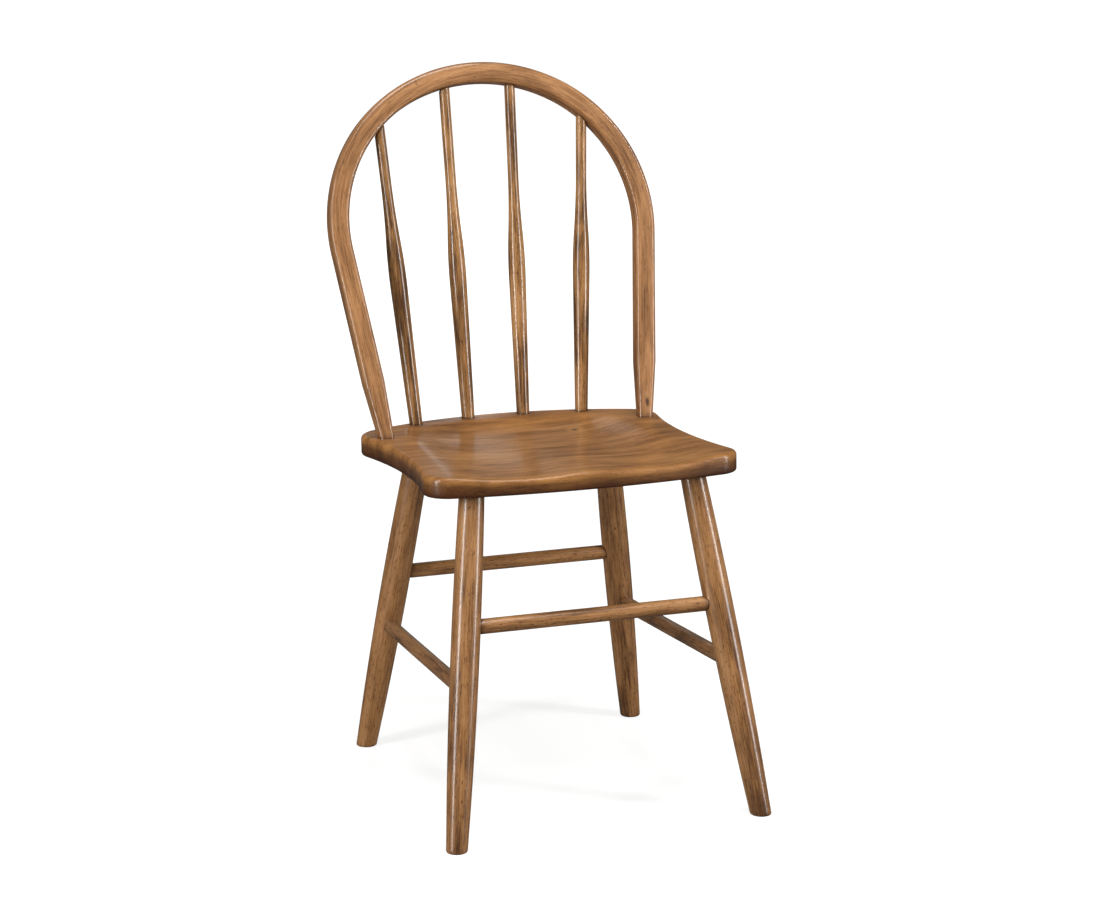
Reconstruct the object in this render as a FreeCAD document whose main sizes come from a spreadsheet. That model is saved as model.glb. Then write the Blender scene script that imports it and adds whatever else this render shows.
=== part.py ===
import FreeCAD, Part
import math
import os
import Sketcher

# A hoop-back dining chair in solid wood. Millimetres and degrees.
# The chair stands on the plane z = 0, faces -Y, and left is -X, as seen by someone who looks at its front.

V = FreeCAD.Vector
ORIGIN = V(0, 0, 0)
doc = FreeCAD.newDocument("hoop_back_chair")

# Driving dimensions. A name that ends in _angle is in degrees, one that ends in _share is a plain ratio.
SIZES = {
    "glue_gap": 0.1,
    "socket_end_gap": 0.5,
    "tenon_root": 4.0,
    # Seat: its top plane falls towards the back, and its outline is eight tangent arcs.
    "seat_front_height": 461.0,
    "seat_tilt_angle": 2.67,
    "seat_thickness": 27.0,
    "seat_front_corner_x": 176.0,
    "seat_front_corner_y": 151.9,
    "seat_front_corner_radius": 34.0,
    "seat_front_edge_radius": 1020.0,
    "seat_rear_corner_x": 162.0,
    "seat_rear_corner_y": 118.1,
    "seat_rear_corner_radius": 46.0,
    "seat_rear_edge_radius": 403.0,
    "seat_waist_radius": 610.0,
    "seat_top_rounding": 6.0,
    "seat_bottom_rounding": 4.0,
    "seat_board_width": 101.0,
    # Saddle of the seat: a dish that deepens towards the back, and a pommel between two thigh hollows.
    "dish_depth": 12.0,
    "dish_front_depth": 7.0,
    "dish_half_width": 158.0,
    "dish_middle_y": 49.0,
    "dish_rear_reach": 122.0,
    "dish_flare_share": 0.125,
    "pommel_half_width": 50.0,
    "pommel_share": 0.6,
    # Legs: the axis runs from the middle of the foot to the middle of the socket under the seat.
    # The side is one arc through the foot, the belly and the top.
    "front_foot_x": 206.0,
    "front_foot_y": 264.9,
    "front_socket_x": 148.8,
    "front_socket_y": 159.5,
    "rear_foot_x": 192.6,
    "rear_foot_y": 170.4,
    "rear_socket_x": 132.5,
    "rear_socket_y": 112.4,
    "leg_foot_radius": 13.6,
    "leg_belly_radius": 18.4,
    "leg_belly_height": 265.0,
    "leg_top_radius": 16.1,
    "leg_foot_rounding": 2.0,
    "leg_tenon_radius": 12.5,
    "leg_tenon_length": 15.0,
    # Stretchers: heights where their axes cross the leg axes.
    "stretcher_radius": 9.75,
    "stretcher_front_height": 269.2,
    "stretcher_rear_height": 250.7,
    "stretcher_side_front_height": 194.4,
    "stretcher_side_rear_height": 176.1,
    "stretcher_tenon_radius": 7.0,
    "stretcher_tenon_length": 14.0,
    "stretcher_end_bevel": 1.0,
    # Hoop: a three-centred arch in a plane that leans back, with straight feet that draw in.
    "hoop_width": 27.2,
    "hoop_depth": 24.0,
    "hoop_edge_radius": 5.5,
    "hoop_foot_y": 95.7,
    "hoop_lean_angle": 20.5,
    "hoop_rise": 480.8,
    "hoop_crown_radius": 227.0,
    "hoop_crown_angle": 28.0,
    "hoop_shoulder_radius": 203.0,
    "hoop_draw_in_angle": 7.0,
    "hoop_taper_height": 75.0,
    "hoop_foot_width": 20.0,
    "hoop_foot_depth": 19.0,
    "hoop_foot_edge_radius": 6.0,
    "hoop_tenon_radius": 8.0,
    "hoop_tenon_length": 18.0,
    # Spindles: heights are measured along the spindle from the seat. The swell's curve is the radius of its arc.
    "spindle_inner_foot_x": 39.2,
    "spindle_inner_foot_y": 183.7,
    "spindle_inner_top_x": 46.3,
    "spindle_outer_foot_x": 117.9,
    "spindle_outer_foot_y": 168.2,
    "spindle_outer_top_x": 142.8,
    "spindle_foot_radius": 8.65,
    "spindle_swell_radius": 11.5,
    "spindle_swell_height": 193.0,
    "spindle_swell_curve": 800.0,
    "spindle_neck_radius": 7.1,
    "spindle_neck_height": 325.0,
    "spindle_foot_socket": 18.0,
    "spindle_tenon_radius": 5.5,
    "spindle_tenon_length": 14.0,
    # Screws that hold the hoop's feet, driven up from counterbores under the seat.
    "screw_head_radius": 4.0,
    "screw_head_flat_radius": 2.8,
    "screw_head_height": 2.6,
    "screw_shank_radius": 2.0,
    "screw_length": 25.0,
    "screw_tip_length": 4.0,
    "screw_recess_width": 1.0,
    "screw_recess_depth": 1.2,
    "screw_counterbore_radius": 4.8,
    "screw_counterbore_depth": 5.5,
}

sheet = doc.addObject("Spreadsheet::Sheet", "sizes")
for row, (alias, number) in enumerate(SIZES.items(), start=1):
    sheet.set("A%d" % row, alias)
    sheet.set("B%d" % row, str(number))
    sheet.setAlias("B%d" % row, alias)
doc.recompute()


class Size:
    """A number that keeps the formula which gives it, so that a feature can be bound to the sheet."""

    def __init__(self, number, formula):
        self.number = number
        self.formula = formula

    def joined(self, sign, other, swap=False):
        other = other if isinstance(other, Size) else Size(float(other), repr(other))
        first, second = (other, self) if swap else (self, other)
        if sign == "+":
            number = first.number + second.number
        elif sign == "-":
            number = first.number - second.number
        elif sign == "*":
            number = first.number * second.number
        else:
            number = first.number / second.number
        return Size(number, "(%s %s %s)" % (first.formula, sign, second.formula))

    def __add__(self, other):
        return self.joined("+", other)

    def __sub__(self, other):
        return self.joined("-", other)

    def __rsub__(self, other):
        return self.joined("-", other, swap=True)

    def __mul__(self, other):
        return self.joined("*", other)

    def __rmul__(self, other):
        return self.joined("*", other, swap=True)

    def __truediv__(self, other):
        return self.joined("/", other)


def size(alias):
    """The driving dimension with this name, read from the sheet."""
    return Size(float(sheet.get(alias)), "sizes." + alias)


def sine(angle):
    return Size(math.sin(math.radians(angle.number)), "sin(%s)" % angle.formula)


def cosine(angle):
    return Size(math.cos(math.radians(angle.number)), "cos(%s)" % angle.formula)


def root(square):
    return Size(math.sqrt(square.number), "sqrt(%s)" % square.formula)


def new_body(label):
    return doc.addObject("PartDesign::Body", label)


def new_sketch(body, name, plane_role, offset=None):
    """A sketch on one of the body's own origin planes, moved and turned by offset."""
    sketch = body.newObject("Sketcher::SketchObject", name)
    planes = [feature for feature in body.Origin.OriginFeatures if feature.Role == plane_role]
    sketch.AttachmentSupport = [(planes[0], "")]
    sketch.MapMode = "FlatFace"
    if offset is not None:
        sketch.AttachmentOffset = offset
    return sketch


def dimension(sketch, kind, references, target):
    """Adds one dimension to a sketch and binds it to the formula of its size."""
    index = sketch.addConstraint(Sketcher.Constraint(kind, *references, target.number))
    sketch.setExpression("Constraints[%d]" % index, target.formula)


def rounded_section(body, name, width, depth, edge_radius, offset):
    """A rectangle with four equal round corners, centred on the sketch's origin."""
    sketch = new_sketch(body, name, "XY_Plane", offset)
    right = width.number / 2
    back = depth.number / 2
    turn = edge_radius.number
    corners = [(right - turn, back - turn), (turn - right, back - turn),
               (turn - right, turn - back), (right - turn, turn - back)]
    for quarter, (x, y) in enumerate(corners):
        circle = Part.Circle(V(x, y, 0), V(0, 0, 1), turn)
        start = quarter * math.pi / 2
        sketch.addGeometry(Part.ArcOfCircle(circle, start, start + math.pi / 2), False)
    arcs = [sketch.Geometry[index] for index in range(4)]
    for quarter in range(4):
        line = Part.LineSegment(arcs[quarter].EndPoint, arcs[(quarter + 1) % 4].StartPoint)
        sketch.addGeometry(line, False)
    for quarter in range(4):
        sketch.addConstraint(Sketcher.Constraint("Tangent", quarter, 2, 4 + quarter, 1))
        sketch.addConstraint(Sketcher.Constraint("Tangent", 4 + quarter, 2, (quarter + 1) % 4, 1))
    for quarter in range(1, 4):
        sketch.addConstraint(Sketcher.Constraint("Equal", 0, quarter))
    sketch.addConstraint(Sketcher.Constraint("Horizontal", 4))
    sketch.addConstraint(Sketcher.Constraint("Vertical", 5))
    dimension(sketch, "Radius", (0,), edge_radius)
    dimension(sketch, "DistanceY", (-1, 1, 4, 1), depth / 2)
    dimension(sketch, "DistanceY", (6, 1, -1, 1), depth / 2)
    dimension(sketch, "DistanceX", (-1, 1, 7, 1), width / 2)
    dimension(sketch, "DistanceX", (5, 1, -1, 1), width / 2)
    return sketch


def revolved(body, name, sketch):
    """Turns a closed profile once round the sketch's vertical axis."""
    feature = body.newObject("PartDesign::Revolution", name)
    feature.Profile = sketch
    feature.ReferenceAxis = (sketch, ["V_Axis"])
    feature.Angle = 360
    return feature


def turned_profile(body, name, corners):
    """A turned solid whose profile is straight between corners, each a radius and a height."""
    sketch = new_sketch(body, name + "_profile", "XZ_Plane")
    count = len(corners)
    for index in range(count):
        radius, height = corners[index]
        next_radius, next_height = corners[(index + 1) % count]
        start = V(radius.number, height.number, 0)
        end = V(next_radius.number, next_height.number, 0)
        sketch.addGeometry(Part.LineSegment(start, end), False)
    for index in range(count):
        sketch.addConstraint(Sketcher.Constraint("Coincident", index, 2, (index + 1) % count, 1))
    for index, (radius, height) in enumerate(corners):
        dimension(sketch, "DistanceX", (-1, 1, index, 1), radius)
        dimension(sketch, "DistanceY", (-1, 1, index, 1), height)
    return revolved(body, name, sketch)


def loft(body, name, sketches, ruled):
    feature = body.newObject("PartDesign::AdditiveLoft", name)
    feature.Profile = sketches[0]
    feature.Sections = sketches[1:]
    feature.Ruled = ruled
    feature.Closed = False
    return feature


def along(start, direction):
    """A placement at start whose Z axis points along direction."""
    return FreeCAD.Placement(start, FreeCAD.Rotation(V(0, 0, 1), direction))


def rod(name, start, direction, length, radius):
    """A round rod: a tenon, or the tool that bores its socket."""
    cylinder = doc.addObject("Part::Cylinder", name)
    cylinder.setExpression("Radius", radius.formula)
    cylinder.setExpression("Height", length.formula)
    cylinder.Placement = along(start, direction)
    return cylinder


def fused(name, pieces):
    fusion = doc.addObject("Part::MultiFuse", name)
    fusion.Shapes = pieces
    fusion.Refine = False
    return fusion


def cut(name, base, tools):
    """The base without its tools, which are fused first when there is more than one."""
    result = doc.addObject("Part::Cut", name)
    result.Base = base
    result.Tool = tools[0] if len(tools) == 1 else fused(name + "_tools", tools)
    result.Refine = False
    return result


def block(name, placement, top, bottom):
    """A slab wider than the chair, between two heights of the placement's Z axis. It is a cutting tool."""
    box = doc.addObject("Part::Box", name)
    box.setExpression("Length", REACH.formula)
    box.setExpression("Width", REACH.formula)
    box.setExpression("Height", (top - bottom).formula)
    corner = V(-REACH.number / 2, -REACH.number / 2, bottom.number)
    box.Placement = placement.multiply(FreeCAD.Placement(corner, FreeCAD.Rotation()))
    return box


ZERO = Size(0.0, "0")
GAP = size("glue_gap")
END_GAP = size("socket_end_gap")

# How far a tenon reaches back into its own piece, so that the two fuse.
ROOT = size("tenon_root")

# Length of the slabs that cut the chair's pieces, well past its width.
REACH = 4 * size("front_foot_x")

# The saddle is worked out on a grid of this many steps, which reaches this much past the seat's outline.
GRID_STEPS = 32
GRID_REACH = 1.15

# A leg's surface seam is turned this far from the outer side, so that it stays off the mortises.
SEAM_TURN = 45

# Lengths under this count as nothing.
TINY = 0.01

# Seat plane
FRONT_ARC = size("seat_front_edge_radius") - size("seat_front_corner_radius")
FRONT_ARC_Y = root(FRONT_ARC * FRONT_ARC - size("seat_front_corner_x") * size("seat_front_corner_x")) \
    - size("seat_front_corner_y")
REAR_ARC = size("seat_rear_edge_radius") - size("seat_rear_corner_radius")
REAR_ARC_Y = size("seat_rear_corner_y") \
    - root(REAR_ARC * REAR_ARC - size("seat_rear_corner_x") * size("seat_rear_corner_x"))
FRONT_EDGE = size("seat_front_edge_radius") - FRONT_ARC_Y
REAR_EDGE = size("seat_rear_edge_radius") + REAR_ARC_Y
TILT = size("seat_tilt_angle")
THICKNESS = size("seat_thickness")
seat_height = size("seat_front_height") - sine(TILT) * FRONT_EDGE
seat_frame = FreeCAD.Placement(V(0, 0, seat_height.number), FreeCAD.Rotation(V(1, 0, 0), -TILT.number))
seat_normal = seat_frame.Rotation.multVec(V(0, 0, 1))


def on_seat(x, y, depth=0.0):
    """The point above or below (x, y) that lies on the plane this far under the seat's top plane."""
    slope = math.tan(math.radians(TILT.number))
    drop = depth / math.cos(math.radians(TILT.number))
    return V(x, y, seat_height.number - slope * y - drop)


def dish_depth_at(x, y):
    """How far the saddle lies under the seat's top plane, at a point of that plane.

    The distance q is 0 in the middle of the dish and 1 at its rim, and the depth is a share
    (1 - q^5)^2 of the full depth, less a bell-shaped pommel that fades out towards the back.
    """
    middle = size("dish_middle_y").number
    ahead = max(0.0, middle - y)
    behind = max(0.0, y - middle)
    half_width = size("dish_half_width").number + size("dish_flare_share").number * ahead
    across = abs(x) / half_width
    back = behind / size("dish_rear_reach").number
    q = (across ** 4 + back ** 4) ** 0.25
    if q >= 1:
        return 0.0
    run = (y + FRONT_EDGE.number) / (middle + FRONT_EDGE.number)
    run = min(1.0, max(0.0, run))
    ease = run * run * (3 - 2 * run)
    front = size("dish_front_depth").number
    full = front + (size("dish_depth").number - front) * ease
    bell = math.exp(-(x / size("pommel_half_width").number) ** 2)
    pommel = size("pommel_share").number * (1 - ease) * bell
    return full * (1 - q ** 5) ** 2 * (1 - pommel)


def seat_outline(sketch):
    """Draws the seat's outline as eight tangent arcs: front, corner, waist, corner, rear and back again."""
    front_x = size("seat_front_corner_x").number
    front_y = -size("seat_front_corner_y").number
    front_r = size("seat_front_corner_radius").number
    rear_x = size("seat_rear_corner_x").number
    rear_y = size("seat_rear_corner_y").number
    rear_r = size("seat_rear_corner_radius").number
    waist_r = size("seat_waist_radius").number
    front_centre = V(front_x, front_y, 0)
    rear_centre = V(rear_x, rear_y, 0)
    span = rear_centre.sub(front_centre)
    near = waist_r + front_r
    far = waist_r + rear_r
    along_span = (near ** 2 - far ** 2 + span.Length ** 2) / (2 * span.Length)
    beside_span = math.sqrt(near ** 2 - along_span ** 2)
    unit = V(span.x / span.Length, span.y / span.Length, 0)
    waist_centre = front_centre + unit * along_span + V(unit.y, -unit.x, 0) * beside_span

    def angle(centre, other):
        return math.atan2(other.y - centre.y, other.x - centre.x)

    def arc(centre, radius, start, end):
        while end < start:
            end += 2 * math.pi
        sketch.addGeometry(Part.ArcOfCircle(Part.Circle(centre, V(0, 0, 1), radius), start, end), False)

    front_middle = V(0, FRONT_ARC_Y.number, 0)
    rear_middle = V(0, REAR_ARC_Y.number, 0)
    front_turn = angle(front_middle, front_centre)
    rear_turn = angle(rear_middle, rear_centre)
    front_waist = angle(front_centre, waist_centre)
    rear_waist = angle(rear_centre, waist_centre)
    mirrored = [V(-point.x, point.y, 0) for point in (front_centre, rear_centre, waist_centre)]
    arc(front_middle, size("seat_front_edge_radius").number, -math.pi - front_turn, front_turn)
    arc(front_centre, front_r, front_turn, front_waist)
    arc(waist_centre, waist_r, angle(waist_centre, rear_centre), angle(waist_centre, front_centre))
    arc(rear_centre, rear_r, rear_waist, rear_turn)
    arc(rear_middle, size("seat_rear_edge_radius").number, rear_turn, math.pi - rear_turn)
    arc(mirrored[1], rear_r, math.pi - rear_turn, math.pi - rear_waist)
    arc(mirrored[2], waist_r, angle(mirrored[2], mirrored[0]), angle(mirrored[2], mirrored[1]))
    arc(mirrored[0], front_r, math.pi - front_waist, -math.pi - front_turn)
    joints = [(0, 2, 1, 1), (1, 2, 2, 2), (2, 1, 3, 1), (3, 2, 4, 1),
              (4, 2, 5, 1), (5, 2, 6, 2), (6, 1, 7, 1), (7, 2, 0, 1)]
    for joint in joints:
        sketch.addConstraint(Sketcher.Constraint("Tangent", *joint))
    dimension(sketch, "Radius", (0,), size("seat_front_edge_radius"))
    dimension(sketch, "Radius", (4,), size("seat_rear_edge_radius"))
    for waist in (2, 6):
        dimension(sketch, "Radius", (waist,), size("seat_waist_radius"))
    for corner, side in ((1, 1), (7, -1)):
        across = (-1, 1, corner, 3) if side > 0 else (corner, 3, -1, 1)
        dimension(sketch, "Radius", (corner,), size("seat_front_corner_radius"))
        dimension(sketch, "DistanceX", across, size("seat_front_corner_x"))
        dimension(sketch, "DistanceY", (corner, 3, -1, 1), size("seat_front_corner_y"))
    for corner, side in ((3, 1), (5, -1)):
        across = (-1, 1, corner, 3) if side > 0 else (corner, 3, -1, 1)
        dimension(sketch, "Radius", (corner,), size("seat_rear_corner_radius"))
        dimension(sketch, "DistanceX", across, size("seat_rear_corner_x"))
        dimension(sketch, "DistanceY", (-1, 1, corner, 3), size("seat_rear_corner_y"))


def shaped_seat():
    """The whole seat before it gets its sockets: outline, saddle and rounded edges."""
    stock = size("seat_top_rounding")
    blank = new_body("seat_blank")
    offset = FreeCAD.Placement(V(0, 0, -THICKNESS.number), FreeCAD.Rotation())
    sketch = new_sketch(blank, "seat_outline", "XY_Plane", offset)
    sketch.setExpression("AttachmentOffset.Base.z", "-" + THICKNESS.formula)
    seat_outline(sketch)
    pad = blank.newObject("PartDesign::Pad", "seat_stock")
    pad.Profile = sketch
    pad.setExpression("Length", (THICKNESS + stock).formula)
    blank.Placement = seat_frame
    # The saddle is a smooth surface through a grid of computed depths. What lies above it is carved away.
    reach_x = GRID_REACH * (size("seat_front_corner_x") + size("seat_front_corner_radius")).number
    reach_y = GRID_REACH * max(FRONT_EDGE.number, REAR_EDGE.number)
    grid = []
    for column in range(GRID_STEPS + 1):
        x = reach_x * (2 * column / GRID_STEPS - 1)
        line = []
        for step in range(GRID_STEPS + 1):
            y = reach_y * (2 * step / GRID_STEPS - 1)
            line.append(V(x, y, -dish_depth_at(x, y)))
        grid.append(line)
    surface = Part.BSplineSurface()
    surface.interpolate(grid)
    waste = doc.addObject("Part::Feature", "saddle_waste")
    waste.Shape = surface.toShape().extrude(V(0, 0, THICKNESS.number))
    waste.Placement = seat_frame
    carved = cut("seat_carved", blank, [waste])
    doc.recompute()
    rounded = doc.addObject("Part::Fillet", "seat_rounded")
    rounded.Base = carved
    edges = []
    for index, edge in enumerate(carved.Shape.Edges, start=1):
        middle = seat_frame.inverse().multVec(edge.valueAt((edge.FirstParameter + edge.LastParameter) / 2))
        ends = edge.Vertexes[0].Point.sub(edge.Vertexes[-1].Point)
        upright = ends.cross(seat_normal).Length < TINY * THICKNESS.number
        if upright:
            continue
        low = middle.z < -THICKNESS.number + stock.number
        radius = size("seat_bottom_rounding" if low else "seat_top_rounding").number
        edges.append((index, radius, radius))
    rounded.Edges = edges
    return rounded


# Leg axes: foot and socket of each leg, and the points of the axis between them
class Leg:
    def __init__(self, end, side, sign):
        self.label = "leg_%s_%s" % (end, side)
        forward = -1 if end == "front" else 1
        self.foot = V(sign * size(end + "_foot_x").number, forward * size(end + "_foot_y").number, 0)
        socket_x = sign * size(end + "_socket_x").number
        socket_y = forward * size(end + "_socket_y").number
        self.socket = on_seat(socket_x, socket_y, THICKNESS.number)
        self.direction = self.socket.sub(self.foot).normalize()
        self.length = self.socket.sub(self.foot).Length
        self.seam_angle = 90 - sign * SEAM_TURN
        self.mortises = []

    def at_height(self, height):
        return self.foot + (self.socket - self.foot) * (height / self.socket.z)


class LegArc:
    """The arc that a leg's side follows, through its foot, its belly and its top.

    Heights run along the leg's axis. The centre is where the two mid-perpendiculars from the foot meet.
    """

    def __init__(self, leg):
        foot = size("leg_foot_radius")
        belly_out = size("leg_belly_radius") - foot
        belly_up = size("leg_belly_height")
        top_out = size("leg_top_radius") - foot
        top_up = leg_length(leg)
        belly_share = (belly_out * belly_out + belly_up * belly_up) / 2
        top_share = (top_out * top_out + top_up * top_up) / 2
        turn = belly_out * top_up - top_out * belly_up
        out = (belly_share * top_up - top_share * belly_up) / turn
        self.height = (belly_out * top_share - top_out * belly_share) / turn
        self.middle = foot + out
        self.radius = root(out * out + self.height * self.height)

    def reach(self, height):
        """The leg's radius at a height."""
        return self.middle.number + math.sqrt(self.radius.number ** 2 - (height - self.height.number) ** 2)


def leg_length(leg):
    return Size(leg.length, repr(leg.length))


def leg_blank(leg):
    """The turned leg with spare length at both ends. One arc gives it its belly."""
    body = new_body(leg.label + "_blank")
    sketch = new_sketch(body, leg.label + "_profile", "XZ_Plane")
    spare = size("leg_foot_radius")
    length = leg_length(leg)
    arc = LegArc(leg)
    low_angle = -math.asin((arc.height + spare).number / arc.radius.number)
    high_angle = math.asin((length + spare - arc.height).number / arc.radius.number)
    centre = V(arc.middle.number, arc.height.number, 0)
    side = Part.ArcOfCircle(Part.Circle(centre, V(0, 0, 1), arc.radius.number), low_angle, high_angle)
    bottom = V(0, -spare.number, 0)
    top = V(0, (length + spare).number, 0)
    sketch.addGeometry(Part.LineSegment(bottom, side.StartPoint), False)
    sketch.addGeometry(side, False)
    sketch.addGeometry(Part.LineSegment(side.EndPoint, top), False)
    sketch.addGeometry(Part.LineSegment(top, bottom), False)
    for joint in ((0, 2, 1, 1), (1, 2, 2, 1), (2, 2, 3, 1), (3, 2, 0, 1)):
        sketch.addConstraint(Sketcher.Constraint("Coincident", *joint))
    sketch.addConstraint(Sketcher.Constraint("Horizontal", 0))
    sketch.addConstraint(Sketcher.Constraint("Horizontal", 2))
    sketch.addConstraint(Sketcher.Constraint("Vertical", 3))
    sketch.addConstraint(Sketcher.Constraint("PointOnObject", 0, 1, -2))
    dimension(sketch, "DistanceY", (0, 1, -1, 1), spare)
    dimension(sketch, "DistanceY", (-1, 1, 3, 1), length + spare)
    dimension(sketch, "DistanceX", (1, 3, -1, 1), 0 - arc.middle)
    dimension(sketch, "DistanceY", (-1, 1, 1, 3), arc.height)
    dimension(sketch, "Radius", (1,), arc.radius)
    revolved(body, leg.label + "_turning", sketch)
    spin = FreeCAD.Placement(ORIGIN, FreeCAD.Rotation(V(0, 0, 1), leg.seam_angle))
    body.Placement = along(leg.foot, leg.direction).multiply(spin)
    return body


def make_leg(leg, floor, seat_solid):
    """Trims the turned leg to the floor and to the seat, adds its tenon and bores its mortises."""
    trimmed = cut(leg.label + "_trimmed", leg_blank(leg), [floor, seat_solid])
    tenon = rod(leg.label + "_tenon", leg.socket - leg.direction * ROOT.number, leg.direction,
                ROOT + size("leg_tenon_length"), size("leg_tenon_radius"))
    whole = fused(leg.label + "_whole", [trimmed, tenon])
    doc.recompute()
    rounded = doc.addObject("Part::Fillet", leg.label + "_rounded")
    rounded.Base = whole
    radius = size("leg_foot_rounding").number
    rounded.Edges = [(index, radius, radius) for index, edge in enumerate(whole.Shape.Edges, start=1)
                     if abs(edge.BoundBox.ZMax) < TINY]
    return cut(leg.label, rounded, leg.mortises)


def leg_socket(leg):
    """The tool that bores the leg's blind socket in the seat."""
    return rod(leg.label + "_socket", leg.socket - leg.direction * ROOT.number, leg.direction,
               ROOT + size("leg_tenon_length") + END_GAP, size("leg_tenon_radius") + GAP)


def seat_of_shoulder(leg, point):
    """Distance from the leg's axis to the spot face that the stretcher's shoulder rests on.

    The whole shoulder lies inside the leg, so the spot face is a full ring.
    """
    radius = LegArc(leg).reach(point.sub(leg.foot).Length)
    return math.sqrt(radius ** 2 - (size("stretcher_radius") + GAP).number ** 2) - END_GAP.number


def make_stretcher(label, first, second, first_height, second_height):
    """A plain round stretcher between two legs, and the mortises that take its tenons."""
    start = first.at_height(first_height.number)
    end = second.at_height(second_height.number)
    direction = end.sub(start).normalize()
    span = end.sub(start).Length
    first_seat = seat_of_shoulder(first, start)
    second_seat = seat_of_shoulder(second, end)
    low = Size(first_seat, repr(first_seat))
    high = Size(span - second_seat, repr(span - second_seat))
    tenon = size("stretcher_tenon_length")
    tenon_radius = size("stretcher_tenon_radius")
    radius = size("stretcher_radius")
    bevel = size("stretcher_end_bevel")
    body = new_body(label)
    corners = [
        (ZERO, low - tenon), (tenon_radius - bevel, low - tenon), (tenon_radius, low - tenon + bevel),
        (tenon_radius, low), (radius, low),
        (radius, high), (tenon_radius, high),
        (tenon_radius, high + tenon - bevel), (tenon_radius - bevel, high + tenon), (ZERO, high + tenon),
    ]
    turned_profile(body, label + "_turning", corners)
    body.Placement = along(start, direction)
    for leg, origin, way, seat in ((first, start, direction, first_seat), (second, end, -direction, second_seat)):
        outward = size("leg_belly_radius") + radius
        mortise = rod("%s_mortise_%s" % (leg.label, label), origin + way * (seat - (tenon + END_GAP).number),
                      way, outward, tenon_radius + GAP)
        spot = rod("%s_spot_%s" % (leg.label, label), origin + way * seat, way, outward, radius + GAP)
        leg.mortises.extend([mortise, spot])
    return body


# Hoop: its own frame has X across the chair and Z up the leaning plane, from the seat between the feet
LEAN = size("hoop_lean_angle")
DRAW = size("hoop_draw_in_angle")
CROWN = size("hoop_crown_radius")
SHOULDER = size("hoop_shoulder_radius")
CROWN_ANGLE = size("hoop_crown_angle")
RISE = size("hoop_rise")
CROWN_Z = RISE - CROWN
SHOULDER_X = (CROWN - SHOULDER) * sine(CROWN_ANGLE)
SHOULDER_Z = CROWN_Z + (CROWN - SHOULDER) * cosine(CROWN_ANGLE)
LEG_TOP_X = SHOULDER_X + SHOULDER * cosine(DRAW)
LEG_TOP_Z = SHOULDER_Z - SHOULDER * sine(DRAW)
hoop_base = on_seat(0, size("hoop_foot_y").number)
hoop_frame = FreeCAD.Placement(hoop_base, FreeCAD.Rotation(V(1, 0, 0), -LEAN.number))


def hoop_leg_x(height):
    """Distance from the middle plane to the centre line of the hoop's straight leg at a height."""
    return LEG_TOP_X - (LEG_TOP_Z - height) * sine(DRAW) / cosine(DRAW)


FOOT_X = hoop_leg_x(ZERO)


def hoop_foot(sign):
    """The point where a foot's centre line meets the seat's top plane, and the way up along the foot."""
    draw = math.radians(DRAW.number)
    up = hoop_frame.Rotation.multVec(V(sign * math.sin(draw), 0, math.cos(draw)))
    return hoop_frame.multVec(V(sign * FOOT_X.number, 0, 0)), up


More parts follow.
